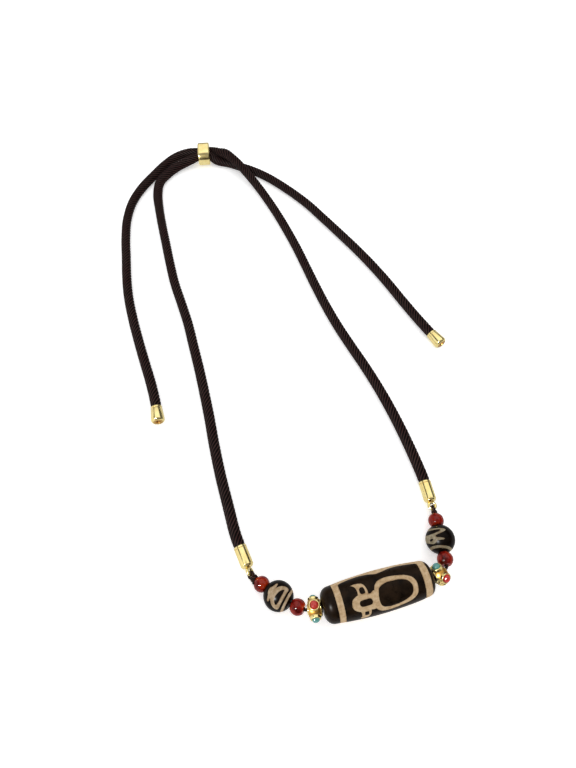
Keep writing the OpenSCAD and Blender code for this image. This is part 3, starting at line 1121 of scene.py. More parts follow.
@dataclass
class Bore:
    """The drilled hole of a bead, with a small chamfer at each end."""

    radius: float = 0.95
    chamfer: float = 0.25

    def edge(self, half: float) -> list[Point]:
        """Profile of the hole from the far flat to the near one.

        Args:
            half: Half the bead's length.

        Returns:
            Radius and height of each point, from +half to -half.
        """
        out, mid = self.radius + self.chamfer, 0.3 * self.chamfer
        top = [(out, half), (self.radius + mid, half - mid), (self.radius, half - self.chamfer)]
        return [*top, (self.radius, 0.0), *[(r, -z) for r, z in reversed(top)]]

    def ends(self, half: float, rim: float, gap: float = 0.4) -> list[Point]:
        """Profile of a bead's two flats with the hole between them.

        Args:
            half: Half the bead's length.
            rim: Radius at which the flats start.
            gap: Widest step across a flat.

        Returns:
            Radius and height of each point, from the flat at +half to the one at -half.
        """
        flat = spaced(rim, self.radius + self.chamfer, gap)[1:-1]
        return [*[(r, half) for r in flat], *self.edge(half), *[(r, -half) for r in reversed(flat)]]


def off_the_ends(found: np.ndarray, skin: np.ndarray, radius_at: Callable, under: float = 0.3,
                 away: float = 3.0) -> np.ndarray:
    """Keeps the etched lines off a bead's flats and out of its hole.

    Args:
        found: Distance of each point of the skin to the nearest pale line, in millimetres.
        skin: The points, on the bead's own axes.
        radius_at: The skin's radius at a place along the hole.
        under: How deep below that radius the flats and the hole begin.
        away: The distance that their points get.

    Returns:
        The distances in millimetres.
    """
    return np.where(np.hypot(skin[:, 0], skin[:, 1]) < radius_at(skin[:, 2]) - under, away, found)


@dataclass
class MainBead:
    """The long barrel bead: a dark field front and back between two pale bands."""

    string: BeadString
    end_d: float = 13.8
    rounding: float = 3.6
    grain: float = 0.27
    steps: int = 192
    bands: tuple[Point, Point] = ((-17.2, -14.85), (17.0, 19.95))
    bore: Bore = field(default_factory=Bore)
    relief: float = 0.05
    relief_edge: float = 0.3
    relief_fade: float = 0.4
    back_width: float = 0.72
    field_line: Outline = field(default_factory=lambda: Outline((
        (-14.75, -38), (-14.7, -46), (-14, -52), (-11, -56), (-6.8, -58), (-3.2, -53), (-0.6, -46),
        (0.6, -44.5), (3.2, -48), (6, -54), (9.1, -56.5), (13.4, -54), (16.4, -50), (17, -44),
        (17, -30), (17, 0), (17, 60), (17, 95), (16.9, 103), (15, 109), (9.1, 114), (4.2, 108),
        (0, 105), (-3, 112), (-6.2, 120), (-10.6, 116), (-13.9, 110), (-14.7, 104), (-14.8, 95),
        (-14.9, 60), (-14.8, 0))))
    motif: Motif = field(default_factory=lambda: Motif(
        shapes=(
            Outline(((-2.7, 20), (-2.4, 2), (-1.6, -11), (0.3, -20.5), (3.4, -23.5), (6.8, -21.5),
                     (10.2, -16.4), (12.8, -6), (14, 8), (14.1, 24), (13.8, 38.5), (12.7, 51),
                     (10.3, 61.5), (6.7, 66.5), (2.4, 70), (-1.1, 65), (-3, 53), (-3, 40))),
            Outline(((-11.8, 26), (-11.2, 12), (-9.1, 4), (-6.6, 4), (-4.3, 7), (-2.6, 2),
                     (-1.8, 20), (-2, 40), (-3.5, 51), (-5.7, 50), (-8.6, 51), (-10.8, 44),
                     (-11.8, 34))),
            Outline(((-10.6, -28.5), (-8.8, -29), (-6.5, -25.5), (-5.3, -14), (-5, 6), (-6, 12),
                     (-9, 10), (-8.85, 3), (-8.75, -7), (-9, -17), (-9.6, -24), (-10.5, -28))),
            Outline(((-8.95, 48), (-8.85, 60), (-8.9, 72), (-9.4, 80), (-8.3, 83), (-6.8, 81),
                     (-5.8, 73), (-5.3, 62), (-5.25, 48), (-7, 44))),
        ),
        holes=(
            Outline(((-1.1, 10), (-0.3, -1), (2.2, -8.7), (5, -9.3), (8, -8), (10.7, -0.8),
                     (12.05, 12.5), (12.05, 27.5), (11.3, 40), (8.9, 50.3), (5.5, 56.5),
                     (1.9, 56.5), (-0.4, 51), (-1.35, 40), (-1.5, 24))),
            Outline(((-9, 26), (-8.5, 19.8), (-6.8, 18.5), (-4.9, 18.7), (-4.2, 22.5), (-4.1, 30),
                     (-4.6, 35.3), (-6.4, 36.6), (-8.2, 36), (-8.9, 31.5))),
            Outline(((-7.85, -10), (-7.4, -14.5), (-6.5, -14.8), (-6, -11), (-5.85, -3), (-6.1, 2),
                     (-6.7, 3.2), (-7.5, 2.6), (-7.9, -1.5))),
            Outline(((-7.7, 54), (-7.3, 53.2), (-6.5, 53.2), (-6.15, 55), (-6.1, 63), (-6.4, 67),
                     (-7.4, 67.5), (-7.7, 65))),
        )))

    def radius_at(self, place: np.ndarray) -> np.ndarray:
        """Radius of the barrel at places along its hole.

        Args:
            place: Millimetres from the bead's middle.

        Returns:
            The radius at each place, in millimetres.
        """
        full, end = self.string.main_d / 2, self.end_d / 2
        straight = self.string.main_len / 2 - self.rounding
        bulge = full - end
        bow = (straight**2 + bulge**2) / (2 * bulge)
        z = np.abs(np.asarray(place, dtype=float))
        over = np.clip(z - straight, 0, self.rounding)
        barrel = full - bow + np.sqrt(bow**2 - np.minimum(z, straight) ** 2)
        rounded = end - self.rounding + np.sqrt(self.rounding**2 - over**2)
        return np.where(z > straight, rounded, barrel)

    def profile(self) -> list[Point]:
        """Draws the barrel's profile, fine enough to carry the pattern.

        Returns:
            Radius and height of each point of the closed profile.
        """
        half, end = self.string.main_len / 2, self.end_d / 2
        straight, flat = half - self.rounding, end - self.rounding
        turn = math.ceil(self.rounding * math.pi / 2 / self.grain)
        barrel = [(float(self.radius_at(z)), z) for z in spaced(-straight, straight, self.grain)]
        low = arc((flat, -straight), self.rounding, -90, 0, turn)
        high = arc((flat, straight), self.rounding, 0, 90, turn)
        return [*low, *barrel[1:-1], *high, *self.bore.ends(half, flat)]

    def etched(self, skin: np.ndarray) -> np.ndarray:
        """Distance to the nearest pale line.

        Args:
            skin: Points of the bead's skin, in millimetres on its own axes.

        Returns:
            The distance at each point, below 0 inside a line.
        """
        z = skin[:, 2]
        low, high = self.bands
        front = (skin, self.radius_at, 0.0, None, 1.0)
        back = (skin, self.radius_at, 180.0, low[1] + high[0], self.back_width)
        zone = np.maximum(low[0] - z, z - high[1])
        fields = np.minimum(self.field_line.distance(*front), self.field_line.distance(*back))
        found = np.min([np.maximum(zone, -fields), self.motif.distance(*front),
                        self.motif.distance(*back)], axis=0)
        return off_the_ends(found, skin, self.radius_at)

    def build(self) -> bpy.types.Object:
        """Builds the bead and lays it in its place.

        Returns:
            The bead's object.
        """
        bm = spun(self.profile(), self.steps)
        etch = self.etched(corners(bm))
        swayed(bm, depth=0.06, size=9.0, seed=4.0)
        half, flat = self.string.main_len / 2, self.end_d / 2 - self.rounding
        out = self.bore.radius + self.bore.chamfer
        drift = self.string.bore_drift
        for vert, away in zip(bm.verts, etch):
            across = math.hypot(vert.co.x, vert.co.y)
            if across < flat:  # the hole's drift fades out across the flat end
                share = min(1.0, (flat - across) / (flat - out))
                level = (vert.co.z / half + 1) / 2
                vert.co.y -= share * (drift[0] * (1 - level) + drift[1] * level)
            elif away < self.relief_edge:  # the etched lines lie a hair below the polished ground
                share = min(1.0, (self.relief_edge - away) / self.relief_fade)
                vert.co -= vert.normal * self.relief * share
        middle = Vector((*self.string.main_at, self.string.main_d / 2))
        matrix = placed(middle, self.string.main_course)
        return settled(bm, "main_dzi_bead", "dzi_bead", matrix, AGATE, {"etch_mm": etch}, sharp=50)


@dataclass
class RoundBead:
    """A round patterned bead: a ring band and a motif, repeated on the far side."""

    string: BeadString
    side: Side
    motif: Motif
    band: Point
    lean: Point
    finish: EtchedAgate
    grain: float = 0.22
    steps: int = 160
    bore: Bore = field(default_factory=Bore)

    def radius_at(self, place: np.ndarray) -> np.ndarray:
        """Radius of the ball at places along its hole.

        Args:
            place: Millimetres from the bead's middle.

        Returns:
            The radius at each place, in millimetres.
        """
        ball = self.string.ball(Place.ROUND)
        return np.sqrt(np.clip(ball**2 - np.asarray(place, dtype=float) ** 2, 0.01, None))

    def profile(self) -> list[Point]:
        """Draws the ball's profile with its small flats and hole.

        Returns:
            Radius and height of each point of the closed profile.
        """
        ball, half = self.string.ball(Place.ROUND), self.string.half(Place.ROUND)
        top = math.degrees(math.asin(half / ball))
        steps = math.ceil(2 * math.radians(top) * ball / self.grain)
        rim = ball * math.cos(math.radians(top))
        return [*arc((0, 0), ball, -top, top, steps), *self.bore.ends(half, rim)]

    def etched(self, skin: np.ndarray) -> np.ndarray:
        """Distance to the nearest pale line.

        Args:
            skin: Points of the bead's skin, in millimetres on its own axes.

        Returns:
            The distance at each point, below 0 inside a line.
        """
        ball = self.string.ball(Place.ROUND)
        z, r = skin[:, 2], np.hypot(skin[:, 0], skin[:, 1])
        # The ring band was painted a little askew to the hole.
        askew, toward = np.radians(self.lean)
        across = np.cos(np.arctan2(-skin[:, 1], -skin[:, 0]) - toward)
        height = z * math.cos(askew) + r * math.sin(askew) * across
        run = ball * np.arcsin(np.clip(height / ball, -1, 1))
        low, high = (ball * math.asin(v / ball) for v in self.band)
        ring = np.maximum(low - run, run - high)
        given = (skin, self.radius_at)
        found = np.min([ring, self.motif.distance(*given),
                        self.motif.distance(*given, about=180)], axis=0)
        return off_the_ends(found, skin, self.radius_at)

    def build(self) -> bpy.types.Object:
        """Builds the bead and lays it in its place.

        Returns:
            The bead's object.
        """
        bm = spun(self.profile(), self.steps)
        etch = self.etched(corners(bm))
        swayed(bm, depth=0.05, size=4.0, seed=7.0 + self.side)
        node, matrix = f"round_dzi_{self.side.word}", self.string.seat(self.side, Place.ROUND)
        return settled(bm, f"{node}_bead", node, matrix, self.finish, {"etch_mm": etch}, sharp=50)


LEFT_MOTIF = Motif(
    shapes=(
        Outline(((0.6, 13), (0, 24), (-0.9, 34), (-1.7, 41), (-2.7, 45), (-3.2, 42), (-3.4, 24),
                 (-3.6, 0), (-3.65, -20), (-3.6, -41), (-3.4, -60), (-3, -68), (-2.1, -65),
                 (-0.9, -55), (0, -43), (0.8, -32), (1, -10))),
        Outline(((0.8, -29), (1.5, -30), (2.2, -27), (2.8, -19), (3.05, -7), (2.85, 3), (2.3, 10),
                 (1.6, 14), (1, 15), (0.4, 0), (0.4, -20))),
        Outline(((2.35, 6), (2.1, 20), (1.8, 28), (1.35, 30), (1.05, 22), (0.95, 8))),
        Outline(((2.15, -24), (1.95, -38), (1.8, -46), (1.35, -50), (0.9, -47), (0.85, -38),
                 (0.95, -26))),
    ),
    holes=(
        Outline(((-2.15, 25), (-1.6, 19), (-1.15, 10), (-0.8, -3), (-0.7, -16), (-0.95, -28),
                 (-1.4, -37.5), (-2.1, -44.5), (-2.5, -39), (-2.65, -20), (-2.55, 0), (-2.4, 15))),
    ))
RIGHT_MOTIF = Motif(
    shapes=(
        Outline(((1.32, 15), (0.77, 7), (0.27, -3), (-0.1, -16), (-0.3, -28), (0, -49), (0.43, -72),
                 (0.88, -92), (1.43, -112), (2, -128), (3.1, -140), (4.1, -128), (4.6, -105),
                 (4.6, -88), (4, -68), (3.5, -53), (2.95, -37), (2.65, -20), (2.45, -6), (2.15, 7),
                 (1.76, 14))),
        Outline(((-3.2, -50), (-2.95, -60), (-2.4, -70), (-1.75, -81), (-1.1, -92), (-0.45, -103),
                 (0.4, -112), (1.4, -102), (1.3, -82), (0.88, -62), (0.43, -42), (0, -28.5),
                 (-0.9, -30), (-1.45, -23), (-2, -21), (-2.5, -28.5), (-3, -38))),
        Outline(((-2.4, -26), (-1.42, -24), (-1.68, -12), (-1.95, -2), (-2.25, 3), (-2.55, -2),
                 (-2.5, -12))),
    ),
    holes=(
        Outline(((1.43, -7), (0.95, -13), (0.6, -27), (0.52, -41), (0.7, -56), (1.2, -72),
                 (1.8, -88), (2.4, -104), (3, -120), (3.6, -119), (3.8, -102), (3.5, -85),
                 (3.05, -70), (2.5, -52), (2.08, -34), (1.97, -19), (1.8, -9))),
        Outline(((-2.05, -54.5), (-1.77, -62), (-1.38, -62), (-1.12, -54), (-1.38, -45),
                 (-1.77, -46))),
    ))


@dataclass
class SmallBead:
    """A carnelian bead, slightly uneven, with a drilled hole."""

    string: BeadString
    side: Side
    place: Place
    steps: int = 64
    bore: Bore = field(default_factory=lambda: Bore(chamfer=0.2))

    def build(self) -> bpy.types.Object:
        """Builds the bead and lays it in its place.

        Returns:
            The bead's object.
        """
        ball, half = self.string.ball(self.place), self.string.half(self.place)
        top = math.degrees(math.asin(half / ball))
        bm = spun([*arc((0, 0), ball, -top, top, 36), *self.bore.edge(half)], self.steps)
        swayed(bm, depth=0.09, size=2.6, seed=11.0 + 5 * self.side + self.place)
        node = f"carnelian_{self.side.word}_{self.place.name.lower()}"
        return settled(bm, f"{node}_bead", node, self.string.seat(self.side, self.place), CARNELIAN)


# ---- Spacers ----------------------------------------------------------------------------


@dataclass
class Spacer:
    """A gold spacer: a flattened ball with four bezels, crossed wires and a collar at each end."""

    string: BeadString
    side: Side
    turn: float
    bezel_span: float = 8.2
    bezel_d: float = 4.3
    stone_d: float = 2.9
    stone_rise: float = 1.1
    wire_d: float = 0.9
    hole_d: float = 1.9
    collar: float = 0.4
    rim_height: float = 0.3
    foot: tuple[Point, ...] = ((0.12, 1.6), (0.12, 2.55), (0.0, 2.75))
    wire_reach: float = 36.0
    stone_seat: float = 1.15
    # Where the painted shade of the hollows goes on the spacer.
    shade_waist: float = 2.3
    shade_rise: float = 0.2
    shade_fade: float = 0.35
    shade_most: float = 0.6

    def body(self) -> bmesh.types.BMesh:
        """Makes the flattened ball with its hole and collars.

        Returns:
            The closed skin.
        """
        ball, half = self.string.ball(Place.SPACER), self.string.half(Place.SPACER)
        hole = self.hole_d / 2
        top = math.degrees(math.asin((half - self.collar) / ball))
        rim = (hole + self.collar + 0.25, half - self.collar)
        outer = arc((0, 0), ball, -top, top, 28)
        upper = [*arc(rim, self.collar, -20, 180, 9), (hole, rim[1] - 0.2)]
        lower = [(r, -z) for r, z in reversed(upper)]
        return spun([*outer, *upper, (hole, 0.0), *lower], 72)

    def bezel(self) -> bmesh.types.BMesh:
        """Makes one bezel, a small tube with a rolled rim and a foot.

        Returns:
            The closed skin, with the bezel's opening towards +Z.
        """
        inner, outer = self.stone_d / 2 + 0.05, self.bezel_d / 2
        top, roll = self.bezel_span / 2, self.rim_height
        return spun([*[(outer + out, z) for out, z in self.foot], (outer, top - 2 * roll),
                     *arc((outer - roll, top - roll), roll, 0, 160, 8), (inner, top - 0.5),
                     (inner, self.foot[0][1])], 40)

    def wire(self, lean: int) -> bmesh.types.BMesh:
        """Makes one of two crossed wires between the bezels, which hugs the ball.

        Args:
            lean: Which of the two, -1 or 1.

        Returns:
            The closed skin, with the crossing on +X.
        """
        bm = bmesh.new()
        radius, bow = self.wire_d / 2, self.string.ball(Place.SPACER)
        made = bmesh.ops.create_circle(bm, segments=12, radius=radius, cap_ends=True)
        bmesh.ops.transform(bm, matrix=Matrix.Translation((bow, 0, 0)), verts=made["verts"])
        bmesh.ops.rotate(bm, matrix=turned(self.wire_reach, "Y").to_3x3(), verts=bm.verts[:])
        bmesh.ops.spin(bm, geom=bm.faces[:], cent=(0, 0, 0), axis=(0, -1, 0),
                       angle=-2 * math.radians(self.wire_reach), steps=14, use_merge=False)
        bmesh.ops.recalc_face_normals(bm, faces=bm.faces[:])
        bmesh.ops.rotate(bm, matrix=turned(45 * lean, "X").to_3x3(), verts=bm.verts[:])
        return bm

    def stone(self, k: int, finish: Finish) -> bpy.types.Object:
        """Builds one cabochon in its bezel.

        Args:
            k: Which bezel, in quarter turns.
            finish: Coral or turquoise.

        Returns:
            The stone's object.
        """
        half, seat = self.stone_d / 2, self.stone_seat
        dome = [(half * math.cos(a) ** 0.8, self.stone_rise * math.sin(a))
                for a in np.linspace(0, math.pi / 2, 14)[:-1]]
        bm = spun([(0.0, -seat), (half, -seat), *dome, (0.0, self.stone_rise)], 40, closed=False)
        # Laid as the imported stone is: out along its own axis, then round the hole.
        matrix = (self.string.seat(self.side, Place.SPACER, self.turn)
                  @ turned(90 * k, "Z") @ turned(90, "Y")
                  @ Matrix.Translation((0, 0, self.bezel_span / 2)))
        # Painted shade from the bezel reaches half way up the dome.
        foot = np.clip(1 - corners(bm)[:, 2] / (0.5 * self.stone_rise), 0, 1) * 0.8
        node = f"{finish.label.removeprefix('red_')}_{self.side.word}_{'ab'[k // 2]}"
        return settled(bm, f"{node}_cabochon", node, matrix, finish, {"foot": foot})

    def build(self) -> list[bpy.types.Object]:
        """Builds the spacer and its four stones.

        Returns:
            The objects, the spacer's first.
        """
        whole = bmesh.new()
        joined(whole, self.body(), Matrix.Identity(4))
        plain = len(whole.verts)
        for k in range(4):
            joined(whole, self.bezel(), turned(90 * k, "Z") @ turned(90, "Y"))
            for lean in (-1, 1):
                joined(whole, self.wire(lean), turned(45 + 90 * k, "Z"))
        skin = corners(whole)
        # Painted shade: the ball's waist, and the feet of the bezels and the wires, are darkened
        # where they would lie in shade.
        waist = np.abs(skin[:, 2]) < self.shade_waist
        above = np.linalg.norm(skin, axis=1) - self.string.ball(Place.SPACER)
        feet = np.clip((self.shade_rise - above) / self.shade_fade, 0, self.shade_most)
        film = np.where(np.arange(len(skin)) < plain, np.where(waist, 1.0, 0.0), feet)
        seat = self.string.seat(self.side, Place.SPACER, self.turn)
        body = settled(whole, f"gold_spacer_{self.side.word}", f"spacer_{self.side.word}", seat,
                       GOLD, {"hollow": film}, sharp=45)
        return [body, *[self.stone(k, (CORAL, TURQUOISE)[k % 2]) for k in range(4)]]


# ---- Metal ends and ring ----------------------------------------------------------------


@dataclass
class CordCap:
    """A gold cap on the inner end of a cord: a tube with a domed end and a soldered loop."""

    string: BeadString
    side: Side
    loop_turn: float
    bore_d: float = 4.4
    depth: float = 5.5
    neck: float = 0.88
    lip: float = 0.12
    wire: float = 0.62
    groove_at: float = 0.92
    groove_rows: tuple[Point, ...] = ((0.0, 1.05), (0.1, 0.98), (0.1, 0.86), (0.0, 0.78))
    # Strengths of the painted shade in the hollows and at the soldered joint.
    film: float = 0.9
    solder_shade: float = 0.6
    solder_d: float = 2.4
    solder_height: float = 0.5

    def build(self) -> bpy.types.Object:
        """Builds the cap and lays it in its place.

        Returns:
            The cap's object.
        """
        s = self.string
        foot = (s.loop_d - s.loop_wire) / 2
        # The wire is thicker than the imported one, inwards only.
        wire = self.wire * s.loop_wire
        ring = s.loop_d / 2 - wire
        out, inner, neck = s.cap_d / 2, self.bore_d / 2, self.neck * s.cap_d / 2
        end, lip = s.cap_dome + s.cap_len, self.lip
        floor = end - self.depth - 1
        dome = [(neck * math.sin(a), 0.7 * s.cap_dome * (1 - math.cos(a)))
                for a in np.linspace(0, math.radians(80), 9)]
        profile = [*dome, (neck, 0.8 * s.cap_dome), (out - lip, s.cap_dome),
                   *arc((out - lip, s.cap_dome + lip), lip, -60, 0, 2),
                   *[(out - deep, end - z) for deep, z in self.groove_rows],
                   *arc((out - lip, end - lip), lip, 0, 90, 3),
                   (inner + 0.08, end), (inner, end - 0.1), (inner, floor), (0.0, floor)]
        tube = spun(profile, 56, closed=False)
        hoop = bmesh.new()
        bmesh.ops.create_circle(hoop, segments=20, radius=wire)
        turn = Matrix.Translation((ring, 0, 0)) @ turned(90, "X")
        bmesh.ops.transform(hoop, matrix=turn, verts=hoop.verts[:])
        bmesh.ops.spin(hoop, geom=hoop.verts[:] + hoop.edges[:], cent=(0, 0, 0), axis=(0, 0, 1),
                       angle=math.tau, steps=40, use_merge=True)
        bmesh.ops.recalc_face_normals(hoop, faces=hoop.faces[:])
        whole = bmesh.new()
        joined(whole, tube, Matrix.Translation((0, 0, foot)))
        joined(whole, hoop, turned(self.loop_turn, "Z") @ turned(90, "Y"))
        skin = corners(whole)
        out_at, up = np.hypot(skin[:, 0], skin[:, 1]), skin[:, 2] - foot
        # Painted shade: the groove, the bore and the soldered joint are darkened where they would
        # lie in shade.
        groove = np.abs(up - end + self.groove_at) < 0.1
        groove &= (out_at < out) & (out_at > inner + 0.1)
        inside = (out_at < inner + 0.02) & (up > floor - 0.1)
        solder = np.clip(1 - np.abs(up) / self.solder_height, 0, 1) * self.solder_shade
        solder *= out_at < self.solder_d / 2
        film = np.maximum(np.where(groove | inside, self.film, 0.0), solder)
        matrix = placed(s.loop_at(self.side), s.course(self.side, Place.CAP))
        return settled(whole, f"gold_cap_{self.side.word}", f"cap_{self.side.word}", matrix, GOLD,
                       {"hollow": film}, sharp=35)


@dataclass
class CordTip:
    """A gold tip on a cord's free end: it flares to a round shoulder, with a hole in its end."""

    side: Side
    mouth: Point
    course: float
    length: float = 7.8
    widest: float = 6.2
    hole_d: float = 2.2
    mouth_d: float = 5.3
    bore_d: float = 4.4
    depth: float = 5.9
    shoulder: float = 1.2
    mouth_rows: tuple[Point, ...] = ((-0.06, 0.0), (0.0, 0.1), (0.05, 0.75), (-0.03, 0.85),
                                     (0.06, 0.98))
    # Strength of the painted shade in the hollows.
    film: float = 0.9

    def build(self) -> bpy.types.Object:
        """Builds the tip and lays it in its place.

        Returns:
            The tip's object.
        """
        wide, inner, hole = self.widest / 2, self.bore_d / 2, self.hole_d / 2
        end = self.length
        profile = [
            (inner, 0.0), (inner + 0.05, 0.0),
            *[(self.mouth_d / 2 + out, z) for out, z in self.mouth_rows],
            (wide, end - 1.6 * self.shoulder),
            *arc((wide - self.shoulder, end - self.shoulder), self.shoulder, 0, 90, 9),
            (hole + 0.25, end), (hole + 0.07, end - 0.05), (hole, end - 0.2), (hole, self.depth),
            (inner, self.depth)]
        bm = spun(profile, 56)
        skin = corners(bm)
        out = np.hypot(skin[:, 0], skin[:, 1])
        groove = np.abs(skin[:, 2] - self.mouth_rows[-2][1]) < 0.05
        # Painted shade: the groove behind the mouth and the bore are darkened where they would lie
        # in shade.
        film = np.where(groove | (out < max(hole, inner) + 0.02), self.film, 0.0)
        matrix = placed(Vector((*self.mouth, wide)), self.course)
        return settled(bm, f"gold_tip_{self.side.word}", f"tip_{self.side.word}", matrix, GOLD,
                       {"hollow": film}, sharp=35)


@dataclass
class SlideRing:
    """The gold slide ring around both cords: straight long sides, round ends, bevelled rims."""

    at: Point = (0.1, 138.2)
    course: float = -12.5
    length: float = 7.0
    wall: float = 2.5
    opening: float = 4.9
    pitch: float = 5.0
    bevel: float = 0.9

    @property
    def height(self) -> float:
        """Full height of the ring."""
        return self.opening + 2 * self.wall

    def inside(self, across: int, out: float) -> Vector:
        """A point on a cord in the ring.

        Args:
            across: -1 for the near cord and 1 for the far one.
            out: Millimetres from the ring's middle along its opening.

        Returns:
            The point in millimetres.
        """
        middle = Vector((*self.at, self.height / 2))
        return (middle + across * self.pitch / 2 * along(self.course + 90)
                + out * along(self.course))

    def build(self) -> bpy.types.Object:
        """Builds the ring and lays it in its place.

        Returns:
            The ring's object.
        """
        low, high = self.opening / 2, self.height / 2
        half, lip = self.length / 2, self.bevel / 2
        rim = [*arc((high - self.bevel, half - self.bevel), self.bevel, 0, 90, 6),
               *arc((low + lip, half - lip), lip, 90, 180, 4)]
        wall = [*rim, *[(r, -z) for r, z in reversed(rim)]]
        bm = bmesh.new()
        verts = [bm.verts.new((r, self.pitch / 2, z)) for r, z in wall]
        edges = [bm.edges.new(pair) for pair in zip(verts, verts[1:] + verts[:1])]
        last = verts + edges
        for end in (1, -1):
            made = bmesh.ops.spin(bm, geom=last, cent=(0, end * self.pitch / 2, 0), axis=(0, 0, 1),
                                  angle=math.pi, steps=28)
            ring = [g for g in made["geom_last"] if isinstance(g, bmesh.types.BMEdge)]
            made = bmesh.ops.extrude_edge_only(bm, edges=ring)
            moved = [g for g in made["geom"] if isinstance(g, bmesh.types.BMVert)]
            bmesh.ops.translate(bm, vec=(0, -end * self.pitch, 0), verts=moved)
            last = moved + [g for g in made["geom"] if isinstance(g, bmesh.types.BMEdge)
                            and all(v in moved for v in g.verts)]
        bmesh.ops.remove_doubles(bm, verts=bm.verts[:], dist=1e-3)
        bmesh.ops.recalc_face_normals(bm, faces=bm.faces[:])
        matrix = placed(Vector((*self.at, self.height / 2)), self.course)
        return settled(bm, "gold_slide_ring", "slide_ring", matrix, GOLD,
                       {"hollow": np.zeros(len(bm.verts))})


# ---- Cords and thread -------------------------------------------------------------------


@dataclass
class BraidedCord:
    """One cord: out of its cap, through the slide ring, and back down to its tip.

    The route's points are plan places with the lift over a cord that lies flat.
    """

    string: BeadString
    ring: SlideRing
    tip: CordTip
    side: Side
    before: tuple[Spot, ...]
    after: tuple[Spot, ...]
    diameter: float = 4.7
    ridges: float = 0.2
    squeezed: float = 4.2
    depth: float = 5.5
    length: float = 0.46
    gap: float = 0.7
    loosest: tuple[Spot, ...] = ((-20.0, 130.0, 28.0), (10.5, 133.0, 6.0))
    loosened: float = 0.17
    swelling: float = 1.6
    pressed: float = 4.5
    release: float = 3.0
    margin: float = 0.4

    def route(self) -> np.ndarray:
        """Joins the places that the cord's middle goes through, from its cap to its tip.

        Returns:
            The points in millimetres, one row for each.
        """
        s = self.string
        mouth, way = s.mouth_at(self.side), s.cap_way(self.side)
        across = 1 if self.side is Side.RIGHT else -1
        face = self.ring.length / 2 + self.margin
        tip_at, tip_way = Vector((*self.tip.mouth, self.tip.widest / 2)), along(self.tip.course)
        lift = Vector((0, 0, self.diameter / 2))
        points = [mouth - self.depth * way, mouth]
        points += [Vector(p) + lift for p in self.before]
        points += [self.ring.inside(across, across * share * face) for share in (1, 0.5, -0.5, -1)]
        points += [Vector(p) + lift for p in self.after]
        points += [tip_at, tip_at + self.depth * tip_way]
        return rows(points)

    def build(self, fittings: Sequence[bpy.types.Object]) -> bpy.types.Object:
        """Args:
            fittings: The metal pieces on the cord; not used.

        Returns:
            The cord's object.
        """
        line = smooth_line(self.route(), self.gap)
        run = run_along(line)
        thin = self.squeezed / self.diameter
        near = np.minimum(run, run[-1] - run) - self.depth
        share = thin + (1 - thin) * np.clip(near / self.swelling, 0, 1) ** 0.5
        # In the ring the cord is pressed round. In the wide bends beside it the plait lies loose:
        # fully so within each bend's reach, and hardly at all beyond it.
        clear = (np.abs(line[:, 0] - self.ring.at[0]) - self.pressed) / self.release
        clear = np.clip(clear, 0, 1)
        loose = sum(1 / (1 + (np.hypot(line[:, 0] - x, line[:, 1] - y) / reach) ** 6)
                    for x, y, reach in self.loosest)
        share *= 1 + self.ridges / self.diameter * clear
        rope = Rope(self.diameter / 2, strands=9, lead=18.0, groove=0.34, per_strand=8)
        rope.run(line, share, spread=1 + self.loosened * clear * loose)
        rope.verts[-1][:, 2] = np.maximum(rope.verts[-1][:, 2], 0.0)
        cord = rope.piece(f"braided_cord_{self.side.word}", f"cord_{self.side.word}", BRAID)
        mouth = self.string.mouth_at(self.side) * MM
        LOG.info("%s: %.0f mm long", cord.name, run[-1])
        return cord


